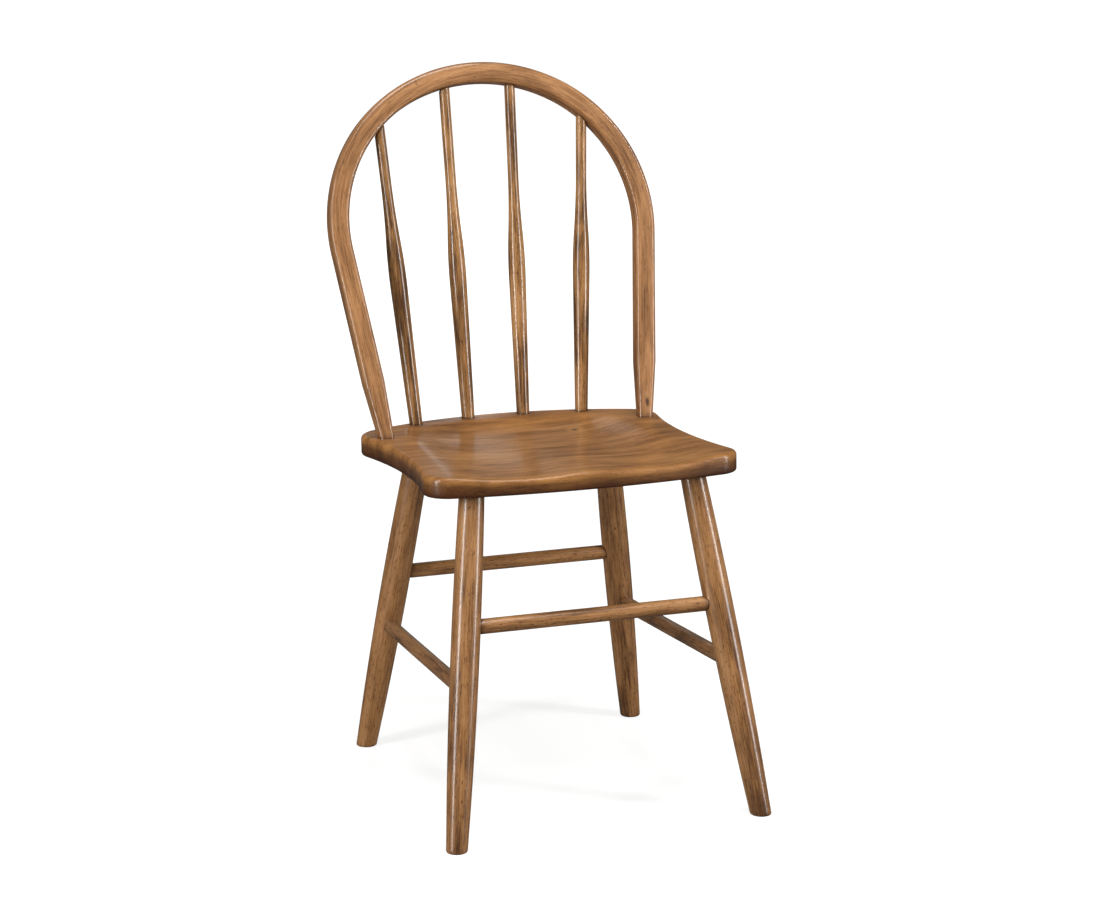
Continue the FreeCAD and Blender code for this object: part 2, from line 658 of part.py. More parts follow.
def hoop_rail(label, grow):
    """The hoop's rail above its tapered feet, swept along the arch. Growing it makes a coping tool."""
    body = new_body(label)
    start_z = size("hoop_taper_height")
    start_x = hoop_leg_x(start_z)
    path = new_sketch(body, label + "_path", "XZ_Plane")
    crown_half = math.radians(CROWN_ANGLE.number)
    draw = math.radians(DRAW.number)
    crown_centre = V(0, CROWN_Z.number, 0)
    left_centre = V(-SHOULDER_X.number, SHOULDER_Z.number, 0)
    right_centre = V(SHOULDER_X.number, SHOULDER_Z.number, 0)
    upright = math.pi / 2
    left_arc = Part.ArcOfCircle(Part.Circle(left_centre, V(0, 0, 1), SHOULDER.number),
                                upright + crown_half, math.pi + draw)
    crown_arc = Part.ArcOfCircle(Part.Circle(crown_centre, V(0, 0, 1), CROWN.number),
                                 upright - crown_half, upright + crown_half)
    right_arc = Part.ArcOfCircle(Part.Circle(right_centre, V(0, 0, 1), SHOULDER.number),
                                 -draw, upright - crown_half)
    path.addGeometry(Part.LineSegment(V(-start_x.number, start_z.number, 0), left_arc.EndPoint), False)
    path.addGeometry(left_arc, False)
    path.addGeometry(crown_arc, False)
    path.addGeometry(right_arc, False)
    path.addGeometry(Part.LineSegment(right_arc.StartPoint, V(start_x.number, start_z.number, 0)), False)
    for joint in ((0, 2, 1, 2), (1, 1, 2, 2), (2, 1, 3, 2), (3, 1, 4, 1)):
        path.addConstraint(Sketcher.Constraint("Tangent", *joint))
    path.addConstraint(Sketcher.Constraint("PointOnObject", 2, 3, -2))
    dimension(path, "Radius", (2,), CROWN)
    dimension(path, "DistanceY", (-1, 1, 2, 3), CROWN_Z)
    dimension(path, "DistanceX", (2, 2, -1, 1), CROWN * sine(CROWN_ANGLE))
    dimension(path, "DistanceX", (-1, 1, 2, 1), CROWN * sine(CROWN_ANGLE))
    for shoulder in (1, 3):
        dimension(path, "Radius", (shoulder,), SHOULDER)
    dimension(path, "DistanceY", (-1, 1, 0, 1), start_z)
    dimension(path, "DistanceY", (-1, 1, 4, 2), start_z)
    dimension(path, "DistanceX", (0, 1, -1, 1), start_x)
    dimension(path, "DistanceX", (-1, 1, 4, 2), start_x)
    offset = FreeCAD.Placement(V(-start_x.number, 0, start_z.number),
                               FreeCAD.Rotation(V(0, 1, 0), -DRAW.number))
    section = rounded_section(body, label + "_section", size("hoop_width") + 2 * grow,
                              size("hoop_depth") + 2 * grow, size("hoop_edge_radius") + grow, offset)
    section.setExpression("AttachmentOffset.Base.x", "-" + start_x.formula)
    section.setExpression("AttachmentOffset.Base.z", start_z.formula)
    pipe = body.newObject("PartDesign::AdditivePipe", label + "_sweep")
    pipe.Profile = section
    pipe.Spine = (path, ["Edge%d" % number for number in range(1, 6)])
    pipe.Mode = "Standard"
    body.Placement = hoop_frame
    return body


def taper_feet(body):
    """Adds the two feet, which thin from the rail's section to where they enter the seat."""
    below = size("hoop_tenon_radius")
    sections = []
    for name, height, measures in (
            ("foot_top", size("hoop_taper_height"), ("hoop_width", "hoop_depth", "hoop_edge_radius")),
            ("foot_end", 0 - below, ("hoop_foot_width", "hoop_foot_depth", "hoop_foot_edge_radius"))):
        x = hoop_leg_x(height)
        offset = FreeCAD.Placement(V(-x.number, 0, height.number),
                                   FreeCAD.Rotation(V(0, 1, 0), -DRAW.number))
        section = rounded_section(body, name, *[size(measure) for measure in measures], offset)
        section.setExpression("AttachmentOffset.Base.x", "-" + x.formula)
        section.setExpression("AttachmentOffset.Base.z", height.formula)
        sections.append(section)
    left = loft(body, "foot_taper", sections, True)
    doc.recompute()
    mirror = body.newObject("PartDesign::Mirrored", "foot_taper_pair")
    mirror.Originals = [left]
    planes = [feature for feature in body.Origin.OriginFeatures if feature.Role == "YZ_Plane"]
    mirror.MirrorPlane = (planes[0], [""])
    body.Tip = mirror
    return body


def make_hoop(below_seat_top, spindle_sockets):
    """Trims the feet to the seat, adds their tenons, and bores for the spindles and the screws."""
    body = taper_feet(hoop_rail("hoop_rail", ZERO))
    trimmed = cut("hoop_trimmed", body, [below_seat_top])
    tenons = []
    pilots = []
    for side, sign in (("left", -1), ("right", 1)):
        foot, up = hoop_foot(sign)
        reach = size("hoop_tenon_length") + ROOT
        end = foot - up * size("hoop_tenon_length").number
        tenons.append(rod("hoop_tenon_" + side, end, up, reach, size("hoop_tenon_radius")))
        pilots.append(rod("hoop_pilot_" + side, end, up, size("screw_length"), size("screw_shank_radius") + GAP))
    whole = fused("hoop_whole", [trimmed] + tenons)
    return cut("back_hoop", whole, spindle_sockets + pilots)


def hoop_sockets():
    """The tools that bore the seat for the hoop's feet."""
    tools = []
    for side, sign in (("left", -1), ("right", 1)):
        foot, up = hoop_foot(sign)
        depth = size("hoop_tenon_length") + END_GAP
        tools.append(rod("hoop_socket_" + side, foot - up * depth.number, up, depth + ROOT,
                         size("hoop_tenon_radius") + GAP))
    return tools


def screw_head_seat(sign):
    """The point of a foot's axis where the screw's head rests, counterbored from the seat's underside."""
    foot, up = hoop_foot(sign)
    through = THICKNESS.number / up.dot(seat_normal)
    return foot - up * (through - size("screw_counterbore_depth").number), up


def screw_holes():
    """The tools that make the screws' clearance holes and counterbores in the seat."""
    tools = []
    for side, sign in (("left", -1), ("right", 1)):
        seat, up = screw_head_seat(sign)
        deep = size("screw_counterbore_depth") + size("screw_counterbore_radius")
        tools.append(rod("screw_counterbore_" + side, seat - up * deep.number, up, deep,
                         size("screw_counterbore_radius")))
        tools.append(rod("screw_hole_" + side, seat - up * GAP.number, up, THICKNESS,
                         size("screw_shank_radius") + GAP))
    return tools


def make_screws():
    """Two round-headed wood screws with a cross recess, one for each foot of the hoop."""
    screws = []
    head = size("screw_head_radius")
    head_height = size("screw_head_height")
    shank = size("screw_shank_radius")
    length = size("screw_length")
    for side, sign in (("left", -1), ("right", 1)):
        seat, up = screw_head_seat(sign)
        frame = along(seat, up)
        body = new_body("screw_%s_turning" % side)
        corners = [
            (ZERO, 0 - head_height), (size("screw_head_flat_radius"), 0 - head_height),
            (head, 0 - head_height / 2), (head, ZERO),
            (shank, ZERO), (shank, length - size("screw_tip_length")), (ZERO, length),
        ]
        turned_profile(body, "screw_%s" % side, corners)
        body.Placement = frame
        slots = []
        for turn in (0, 90):
            slot = doc.addObject("Part::Box", "screw_recess_%s_%d" % (side, turn))
            slot.setExpression("Length", head.formula)
            slot.setExpression("Width", "sizes.screw_recess_width")
            slot.setExpression("Height", "sizes.screw_recess_depth * 2")
            corner = V(-head.number / 2, -size("screw_recess_width").number / 2,
                       -(head_height + size("screw_recess_depth")).number)
            spin = FreeCAD.Placement(ORIGIN, FreeCAD.Rotation(V(0, 0, 1), turn))
            slot.Placement = frame.multiply(spin).multiply(FreeCAD.Placement(corner, FreeCAD.Rotation()))
            slots.append(slot)
        screws.append(cut("screw_" + side + "_solid", body, slots))
    pair = doc.addObject("Part::Compound", "hoop_screws")
    pair.Links = screws
    return pair


class Spindle:
    """The axis of one spindle, from the seat's top plane to the hoop's inner side."""

    def __init__(self, rank, side, sign):
        self.label = "spindle_%s_%s" % (rank, side)
        foot_x = sign * size("spindle_%s_foot_x" % rank).number
        self.foot = on_seat(foot_x, size("spindle_%s_foot_y" % rank).number)
        across = size("spindle_%s_top_x" % rank).number
        self.top = hoop_frame.multVec(V(sign * across, 0, inner_height(across)))
        self.direction = self.top.sub(self.foot).normalize()
        self.length = self.top.sub(self.foot).Length


def inner_height(across):
    """Height in the hoop's plane of the rail's inner side, at a distance from the middle plane."""
    half = size("hoop_width").number / 2
    if across < (CROWN.number - half) * sine(CROWN_ANGLE).number:
        return CROWN_Z.number + math.sqrt((CROWN.number - half) ** 2 - across ** 2)
    return SHOULDER_Z.number + math.sqrt((SHOULDER.number - half) ** 2 - (across - SHOULDER_X.number) ** 2)


def spindle_socket(spindle):
    """The tool that bores the spindle's blind socket in the seat."""
    depth = size("spindle_foot_socket") + END_GAP
    return rod(spindle.label + "_socket", spindle.foot - spindle.direction * depth.number, spindle.direction,
               depth + ROOT, size("spindle_foot_radius") + GAP)


def spindle_top_socket(spindle):
    """The tool that bores the spindle's blind socket in the hoop."""
    return rod(spindle.label + "_top_socket", spindle.top - spindle.direction * size("hoop_width").number,
               spindle.direction, size("hoop_width") + size("spindle_tenon_length") + END_GAP,
               size("spindle_tenon_radius") + GAP)


def spindle_blank(spindle):
    """The turned spindle: foot, cone, swell, hollow above it and a straight neck that passes the hoop's side."""
    body = new_body(spindle.label + "_blank")
    sketch = new_sketch(body, spindle.label + "_profile", "XZ_Plane")
    foot = size("spindle_foot_radius")
    socket = size("spindle_foot_socket")
    swell = size("spindle_swell_radius")
    swell_height = size("spindle_swell_height")
    curve = size("spindle_swell_curve")
    neck = size("spindle_neck_radius")
    neck_height = size("spindle_neck_height")
    top = spindle.length + size("hoop_width").number / 2
    fall = swell.number - neck.number
    both_curves = ((neck_height - swell_height).number ** 2 + fall ** 2) / (2 * fall)
    hollow = both_curves - curve.number
    swell_centre = V(swell.number - curve.number, swell_height.number, 0)
    hollow_centre = V(neck.number + hollow, neck_height.number, 0)
    to_centre = swell_centre.sub(V(foot.number, 0, 0))
    way = math.atan2(to_centre.y, to_centre.x) - math.asin(curve.number / to_centre.Length)
    run = math.sqrt(to_centre.Length ** 2 - curve.number ** 2)
    touch = V(foot.number + run * math.cos(way), run * math.sin(way), 0)
    turn = math.asin((neck_height - swell_height).number / both_curves)
    start = math.atan2(touch.y - swell_centre.y, touch.x - swell_centre.x)
    swell_arc = Part.ArcOfCircle(Part.Circle(swell_centre, V(0, 0, 1), curve.number), start, turn)
    hollow_arc = Part.ArcOfCircle(Part.Circle(hollow_centre, V(0, 0, 1), hollow), math.pi, math.pi + turn)
    bottom = V(0, -socket.number, 0)
    rim = V(foot.number, -socket.number, 0)
    seat_level = V(foot.number, 0, 0)
    neck_top = V(neck.number, top, 0)
    middle_top = V(0, top, 0)
    sketch.addGeometry(Part.LineSegment(bottom, rim), False)
    sketch.addGeometry(Part.LineSegment(rim, seat_level), False)
    sketch.addGeometry(Part.LineSegment(seat_level, touch), False)
    sketch.addGeometry(swell_arc, False)
    sketch.addGeometry(hollow_arc, False)
    sketch.addGeometry(Part.LineSegment(hollow_arc.StartPoint, neck_top), False)
    sketch.addGeometry(Part.LineSegment(neck_top, middle_top), False)
    sketch.addGeometry(Part.LineSegment(middle_top, bottom), False)
    for joint in ((0, 2, 1, 1), (1, 2, 2, 1), (5, 2, 6, 1), (6, 2, 7, 1), (7, 2, 0, 1)):
        sketch.addConstraint(Sketcher.Constraint("Coincident", *joint))
    for joint in ((2, 2, 3, 1), (3, 2, 4, 2), (4, 1, 5, 1)):
        sketch.addConstraint(Sketcher.Constraint("Tangent", *joint))
    for level in (0, 6):
        sketch.addConstraint(Sketcher.Constraint("Horizontal", level))
    for upright in (1, 5, 7):
        sketch.addConstraint(Sketcher.Constraint("Vertical", upright))
    sketch.addConstraint(Sketcher.Constraint("PointOnObject", 0, 1, -2))
    sketch.addConstraint(Sketcher.Constraint("PointOnObject", 1, 2, -1))
    dimension(sketch, "DistanceY", (0, 1, -1, 1), socket)
    dimension(sketch, "DistanceX", (-1, 1, 1, 1), foot)
    dimension(sketch, "Radius", (3,), curve)
    dimension(sketch, "DistanceY", (-1, 1, 3, 3), swell_height)
    dimension(sketch, "DistanceX", (3, 3, -1, 1), curve - swell)
    dimension(sketch, "DistanceY", (-1, 1, 4, 3), neck_height)
    dimension(sketch, "DistanceX", (-1, 1, 4, 1), neck)
    dimension(sketch, "DistanceY", (-1, 1, 5, 2), Size(top, repr(top)))
    revolved(body, spindle.label + "_turning", sketch)
    body.Placement = along(spindle.foot, spindle.direction)
    return body


def make_spindle(spindle, coping_tool):
    """A turned spindle, coped at the top to the hoop's inner side, with a thinner tenon that enters it."""
    coped = cut(spindle.label + "_coped", spindle_blank(spindle), [coping_tool])
    tenon = rod(spindle.label + "_tenon", spindle.top - spindle.direction * size("hoop_width").number,
                spindle.direction, size("hoop_width") + size("spindle_tenon_length"),
                size("spindle_tenon_radius"))
    return fused(spindle.label, [coped, tenon])


def make_boards(seat):
    """Splits the finished seat into the boards that it is glued up from, side by side."""
    names = ["seat_board_front", "seat_board_front_middle", "seat_board_rear_middle", "seat_board_rear"]
    width = size("seat_board_width")
    boards = []
    for index, name in enumerate(names):
        first = index == 0
        last = index == len(names) - 1
        start = index * width - FRONT_EDGE
        box = doc.addObject("Part::Box", name + "_space")
        box.setExpression("Length", REACH.formula)
        box.setExpression("Width", (width * 2 if first or last else width).formula)
        box.setExpression("Height", (THICKNESS * 4).formula)
        corner_y = start.number - (width.number if first else 0)
        corner = V(-REACH.number / 2, corner_y, -2 * THICKNESS.number)
        box.Placement = seat_frame.multiply(FreeCAD.Placement(corner, FreeCAD.Rotation()))
        board = doc.addObject("Part::Common", name)
        board.Base = seat
        board.Tool = box
        board.Refine = False
        boards.append(board)
    return boards


# Build
legs = {(end, side): Leg(end, side, sign)
        for end in ("front", "rear")
        for side, sign in (("left", -1), ("right", 1))}
spindles = [Spindle("outer", "left", -1), Spindle("inner", "left", -1),
            Spindle("inner", "right", 1), Spindle("outer", "right", 1)]

stretchers = [
    make_stretcher("stretcher_front", legs["front", "left"], legs["front", "right"],
                   size("stretcher_front_height"), size("stretcher_front_height")),
    make_stretcher("stretcher_rear", legs["rear", "left"], legs["rear", "right"],
                   size("stretcher_rear_height"), size("stretcher_rear_height")),
    make_stretcher("stretcher_left", legs["rear", "left"], legs["front", "left"],
                   size("stretcher_side_rear_height"), size("stretcher_side_front_height")),
    make_stretcher("stretcher_right", legs["rear", "right"], legs["front", "right"],
                   size("stretcher_side_rear_height"), size("stretcher_side_front_height")),
]

floor_block = block("floor_block", FreeCAD.Placement(), ZERO, 0 - size("front_foot_x"))
seat_block = block("seat_block", seat_frame, size("front_foot_x"), 0 - THICKNESS)
below_seat_top = block("below_seat_top", seat_frame, GAP, 0 - size("front_foot_x"))

finished_legs = [make_leg(leg, floor_block, seat_block) for leg in legs.values()]
coping_tool = hoop_rail("hoop_coping_tool", GAP)
finished_spindles = [make_spindle(spindle, coping_tool) for spindle in spindles]
hoop = make_hoop(below_seat_top, [spindle_top_socket(spindle) for spindle in spindles])
screws = make_screws()
sockets = [leg_socket(leg) for leg in legs.values()]
sockets += hoop_sockets() + screw_holes() + [spindle_socket(spindle) for spindle in spindles]
seat = cut("seat_bored", shaped_seat(), sockets)
boards = make_boards(seat)
doc.recompute()

# Check and write
for item in doc.Objects:
    if "Invalid" in item.State or "Error" in item.State:
        raise RuntimeError("%s failed: %s" % (item.Name, item.State))
nodes = boards + [hoop] + finished_spindles + finished_legs + stretchers + [screws]
for node in nodes:
    solids = 2 if node is screws else 1
    if node.Shape.isNull() or not node.Shape.isValid() or len(node.Shape.Solids) != solids:
        raise RuntimeError("%s has a bad shape" % node.Label)
os.makedirs("parts", exist_ok=True)
for node in nodes:
    node.Shape.exportStep("parts/%s.step" % node.Label)
    print("%-26s %8.1f cm3" % (node.Label, node.Shape.Volume / 1000))
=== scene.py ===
# %% [markdown]
# # A hoop-back dining chair in stained wood
# The construction model says where every leg, spindle and board is. This lesson dresses it: each becomes a
# smooth surface worked out with numpy, with its own grain, under a clear satin lacquer.
# Everything is in metres. The chair stands on z = 0, faces -Y, and its left is -X seen from the front.

# %% Load the construction model
import math

import bmesh
import bpy
import numpy as np
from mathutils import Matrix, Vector


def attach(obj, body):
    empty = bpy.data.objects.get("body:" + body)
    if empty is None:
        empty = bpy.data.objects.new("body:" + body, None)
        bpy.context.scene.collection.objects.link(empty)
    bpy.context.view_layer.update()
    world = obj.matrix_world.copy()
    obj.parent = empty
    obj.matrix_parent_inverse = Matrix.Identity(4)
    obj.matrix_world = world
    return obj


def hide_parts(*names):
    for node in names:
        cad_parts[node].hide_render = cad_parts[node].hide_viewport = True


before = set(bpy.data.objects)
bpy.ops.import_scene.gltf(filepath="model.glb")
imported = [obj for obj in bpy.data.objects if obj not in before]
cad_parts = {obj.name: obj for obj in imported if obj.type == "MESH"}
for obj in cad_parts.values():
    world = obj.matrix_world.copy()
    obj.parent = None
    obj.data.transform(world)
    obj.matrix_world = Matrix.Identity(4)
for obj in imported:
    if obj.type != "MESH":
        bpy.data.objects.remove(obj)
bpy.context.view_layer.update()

# %% [markdown]
# ## The camera
# A product photographer stands well back with a long lens, so that a chair looks calm. The camera is placed
# there and turned by two angles, because a Track To constraint would hide the numbers of the view.

# %% Camera
IMAGE_WIDTH = 1100
IMAGE_HEIGHT = 917
SENSOR_WIDTH_MM = 36.0
FOCAL_PIXELS = 3507.4
CAMERA_PLACE = (-1.4881, -4.1919, 1.5464)
CAMERA_YAW = -0.343735
CAMERA_PITCH = 0.246686

scene = bpy.context.scene


def new_object(name, data):
    """An object with this data, linked to the scene."""
    made = bpy.data.objects.new(name, data)
    scene.collection.objects.link(made)
    return made


camera_data = bpy.data.cameras.new("camera")
camera_data.sensor_width = SENSOR_WIDTH_MM
camera_data.lens = FOCAL_PIXELS / IMAGE_WIDTH * SENSOR_WIDTH_MM
camera = new_object("camera", camera_data)
camera.location = CAMERA_PLACE
camera.rotation_euler = (math.pi / 2 - CAMERA_PITCH, 0, CAMERA_YAW)
scene.camera = camera
scene.view_settings.view_transform = "Standard"
print("Lens in millimetres:", round(camera_data.lens, 1), "for", IMAGE_WIDTH, "x", IMAGE_HEIGHT, "pixels")

# %% [markdown]
# ## Small helpers for shader nodes
# A material is a graph. A few short functions keep it readable as text: each line says what one node does.


# %% Node helpers
def feed(tree, socket, value):
    """Joins another node's output to an input socket, or sets the socket to a plain value."""
    if isinstance(value, bpy.types.NodeSocket):
        tree.links.new(value, socket)
    else:
        socket.default_value = value


def fill(tree, node, values):
    """Feeds a node's inputs by their labels."""
    for label, value in values.items():
        feed(tree, node.inputs[label], value)
    return node


def add(tree, kind, labelled=None, **settings):
    """Adds a shader node, sets its properties and feeds its inputs: labelled, or numbered in0, in1 and on."""
    made = tree.nodes.new("ShaderNode" + kind)
    for name, value in settings.items():
        if name.startswith("in") and name[2:].isdigit():
            feed(tree, made.inputs[int(name[2:])], value)
        else:
            setattr(made, name, value)
    return fill(tree, made, labelled or {})


def ranged(tree, source, low, high, to_low=0.0, to_high=1.0):
    """A smooth Map Range of a value: low to high becomes to_low to to_high, and it is clamped."""
    return add(tree, "MapRange", interpolation_type="SMOOTHSTEP", in0=source, in1=low, in2=high,
               in3=to_low, in4=to_high).outputs[0]


def maths(tree, operation, first, second):
    """A Math node's result."""
    return add(tree, "Math", operation=operation, in0=first, in1=second).outputs[0]


def mixed(tree, blend, factor, first, second):
    """A colour Mix node's result."""
    return add(tree, "Mix", data_type="RGBA", blend_type=blend, in0=factor, in6=first, in7=second).outputs[2]


def new_group(name, inputs, outputs):
    """An empty shader group with sockets given as (kind, label), and its input and output nodes."""
    group = bpy.data.node_groups.new(name, "ShaderNodeTree")
    for way, sockets in (("INPUT", inputs), ("OUTPUT", outputs)):
        for kind, label in sockets:
            group.interface.new_socket(label, in_out=way, socket_type="NodeSocket" + kind)
    return group, group.nodes.new("NodeGroupInput"), group.nodes.new("NodeGroupOutput")


def new_material(name):
    """A material whose node tree is empty, and the tree."""
    material = bpy.data.materials.new(name)
    material.use_nodes = True
    material.node_tree.nodes.clear()
    return material, material.node_tree


def linear(red, green, blue):
    """The linear colour of an sRGB colour given as 0 to 255, by the sRGB formula, with full alpha."""
    shares = np.array([red, green, blue]) / 255.0
    bright = np.where(shares <= 0.04045, shares / 12.92, ((shares + 0.055) / 1.055) ** 2.4)
    return (*bright.tolist(), 1.0)


print("Node helpers are ready")

# %% [markdown]
# ## Floor and room
# The chair stands in a white studio on a pale floor that runs out of sight. The floor shows white to the
# camera without lighting the chair, and keeps its soft shadow. The lacquer sees floor and room much dimmer
# than the camera does, so the wood keeps its depth of colour. A backdrop could make the white too, but would
# show its own corner in other views.

# %% Floor and room
WHITE = (1, 1, 1, 1)
FLOOR_RADIUS = 40.0
FLOOR_SIDES = 64
FLOOR_COLOUR = (0.35, 0.35, 0.34, 1)
# Lamps light the floor less further out, so between these distances its glow grows by these strengths.
GLOW_DISTANCES = (0.6, 4.0)
GLOW_STRENGTHS = (0.74, 1.0)
# How bright the room is where it lights the chair, and how bright the lacquer sees the room and the floor.
ROOM_LIGHT = 0.08
ROOM_SHINE = 0.10
FLOOR_SHINE = 0.08


def ray_kinds(tree):
    """Whether a ray is the camera's, straight or through glass, and whether a shiny surface sent it."""
    path = add(tree, "LightPath").outputs
    return maths(tree, "MAXIMUM", path["Is Camera Ray"], path["Is Transmission Ray"]), path["Is Glossy Ray"]


def white_floor():
    """A diffuse floor takes the shadow. A glow that lights nothing makes it white, more so further out."""
    turn = np.linspace(0, 2 * np.pi, FLOOR_SIDES, endpoint=False)
    ring = np.column_stack((np.cos(turn), np.sin(turn), np.zeros(FLOOR_SIDES))) * FLOOR_RADIUS
    mesh = bpy.data.meshes.new("floor")
    mesh.from_pydata(ring.tolist(), [], [list(range(FLOOR_SIDES))])
    material, tree = new_material("white_floor")
    seen, glossy = ray_kinds(tree)
    distance = add(tree, "VectorMath", operation="LENGTH", in0=add(tree, "TexCoord").outputs["Object"])
    strength = ranged(tree, distance.outputs["Value"], *GLOW_DISTANCES, *GLOW_STRENGTHS)
    glow = add(tree, "Emission", in0=WHITE, in1=maths(tree, "MULTIPLY", strength, seen))
    diffuse = add(tree, "BsdfDiffuse", in0=FLOOR_COLOUR)
    both = add(tree, "AddShader", in0=diffuse.outputs[0], in1=glow.outputs[0])
    shine = add(tree, "Emission", in0=WHITE, in1=FLOOR_SHINE)
    choose = add(tree, "MixShader", in0=glossy, in1=both.outputs[0], in2=shine.outputs[0])
    add(tree, "OutputMaterial", in0=choose.outputs[0])
    mesh.materials.append(material)
    new_object("floor", mesh)


def white_room():
    """A world that is white to the camera and dimmer where it lights the chair or shines in its lacquer."""
    world = bpy.data.worlds.new("studio")
    world.use_nodes = True
    tree = world.node_tree
    tree.nodes.clear()
    seen, glossy = ray_kinds(tree)
    shine = maths(tree, "MULTIPLY", glossy, ROOM_SHINE - ROOM_LIGHT)
    level = maths(tree, "MAXIMUM", seen, maths(tree, "ADD", shine, ROOM_LIGHT))
    glow = add(tree, "Background", in0=WHITE, in1=level)
    add(tree, "OutputWorld", in0=glow.outputs[0])
    scene.world = world


white_floor()
white_room()
print("Floor and room are in place")

# %% [markdown]
# ## Lamps
# A tall soft box at each side reaches down to the floor and draws the long bright lines that show how round
# the legs and spindles are. One overhead lights the seat, and two faint ones behind give a little rim light.
# Two fills soften the shadows without shining in the lacquer. White walls alone would draw no lines.

# %% Lamps
# Name, place, the point that it faces, width, height, watts, and whether it shines in the lacquer.
LAMPS = [
    ("left_strip", (-2.6, -0.9, 1.55), (0, 0, 1.3), 0.28, 2.9, 72, True),
    ("right_strip", (2.2, -1.7, 1.55), (0, 0, 1.3), 0.28, 2.9, 72, True),
    ("overhead", (0.0, -0.7, 3.2), (0, 0, 0.4), 1.6, 1.6, 60, True),
    ("left_rim", (0.30, 2.30, 1.15), (-0.10, 0, 0.5), 0.12, 1.3, 0.35, True),
    ("right_rim", (0.62, 2.20, 1.15), (0.02, 0, 0.5), 0.12, 1.3, 0.35, True),
    ("front_fill", (-1.2, -4.5, 2.0), (0, 0, 0.5), 1.2, 1.2, 46, False),
    ("rear_fill", (1.0, 4.4, 2.2), (0, 0, 0.5), 1.2, 1.2, 60, False),
]


def soft_box(name, place, aim, width, height, watts, shines):
    """A rectangular lamp at a place, turned towards a point."""
    data = bpy.data.lights.new(name, "AREA")
    data.shape = "RECTANGLE"
    data.size = width
    data.size_y = height
    data.energy = watts
    lamp = new_object(name, data)
    lamp.location = place
    lamp.rotation_euler = (Vector(aim) - Vector(place)).to_track_quat("-Z", "Y").to_euler()
    lamp.visible_camera = False
    lamp.visible_glossy = shines


for lamp_row in LAMPS:
    soft_box(*lamp_row)
print("Lamps:", len(LAMPS))

# %% [markdown]
# ## One helper that turns a grid of points into a piece
# Every piece here is a closed skin: rings of points, one after another, with a middle point at each end.
# Turned pieces, a bent rail and a carved seat all fit that. Each point also gets a place in the plank that
# the piece was cut from. The grain is drawn there, so it follows the piece.


# %% From rings to a mesh
def skin(name, rings, plank, ends, plank_ends, shade):
    """A closed mesh from rings (count, around, 3) and two end points.

    Face k of ring i joins points k and k+1 of ring i to the same points of ring i+1, and each end is a fan.
    The materials read two attributes: the plank places, and the painted shade, 0 to 1, darkest at joints.
    """
    count, around = rings.shape[:2]
    points = np.concatenate((rings.reshape(-1, 3), np.array(ends)))
    places = np.concatenate((plank.reshape(-1, 3), np.array(plank_ends)))
    low = np.arange(around)
    high = (low + 1) % around
    start = np.arange(count - 1)[:, None] * around
    quads = np.stack((start + low, start + high, start + high + around, start + low + around), axis=-1)
    first = count * around
    top = first - around
    bottom_fan = np.column_stack((np.full(around, first), high, low))
    top_fan = np.column_stack((np.full(around, first + 1), top + low, top + high))
    mesh = bpy.data.meshes.new(name)
    mesh.from_pydata(points, [], quads.reshape(-1, 4).tolist() + bottom_fan.tolist() + top_fan.tolist())
    grain = mesh.attributes.new("grain", "FLOAT_VECTOR", "POINT")
    grain.data.foreach_set("vector", places.astype(np.float32).ravel())
    # Painted shade: how much darker each point is drawn in joints and under edges.
    gathered = mesh.attributes.new("gathered", "FLOAT", "POINT")
    shade = np.broadcast_to(shade, (count, around))
    gathered.data.foreach_set("value", np.append(shade, (shade[0, 0], shade[-1, 0])).astype(np.float32))
    mesh.shade_smooth()
    return new_object(name, mesh)


def dress(piece, slot, *nodes):
    """Says which body the piece rides on and hides the construction pieces it stands for. The slot is not
    used.
    """
    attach(piece, "root")
    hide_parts(*nodes)
    return piece


print("Skin helper is ready")

# %% [markdown]
# ## The seat's own surface
# Legs, spindles and the hoop end at the seat, so its surface comes first, as a formula: a plane that falls
# gently to the back, and a hollow for the thighs with a low rise between them at the front edge.
# A sculpted mesh could look the same, but other pieces couldn't ask it where its surface is.

# %% Seat measures
SEAT_FRONT_HEIGHT = 0.461
SEAT_TILT = math.radians(2.67)
SEAT_THICKNESS = 0.027
FRONT_CORNER = (0.176, -0.1519)
FRONT_CORNER_RADIUS = 0.034
FRONT_EDGE_RADIUS = 1.020
REAR_CORNER = (0.162, 0.1181)
REAR_CORNER_RADIUS = 0.046
REAR_EDGE_RADIUS = 0.403
WAIST_RADIUS = 0.610
TOP_ROUNDING = 0.006
BOTTOM_ROUNDING = 0.004
BOARD_WIDTH = 0.101
DISH_DEPTH = 0.012
DISH_FRONT_DEPTH = 0.007
DISH_HALF_WIDTH = 0.158
DISH_MIDDLE = 0.049
DISH_REAR_REACH = 0.122
DISH_FLARE = 0.125
POMMEL_HALF_WIDTH = 0.050
POMMEL_SHARE = 0.6

# The big front and rear arcs touch the corner arcs, so their centres follow from the corners.
front_gap = FRONT_EDGE_RADIUS - FRONT_CORNER_RADIUS
front_centre_y = math.sqrt(front_gap ** 2 - FRONT_CORNER[0] ** 2) + FRONT_CORNER[1]
rear_gap = REAR_EDGE_RADIUS - REAR_CORNER_RADIUS
rear_centre_y = REAR_CORNER[1] - math.sqrt(rear_gap ** 2 - REAR_CORNER[0] ** 2)
front_edge = FRONT_EDGE_RADIUS - front_centre_y
seat_height = SEAT_FRONT_HEIGHT - math.sin(SEAT_TILT) * front_edge
print("Seat front edge lies", round(front_edge, 4), "m ahead of the middle")


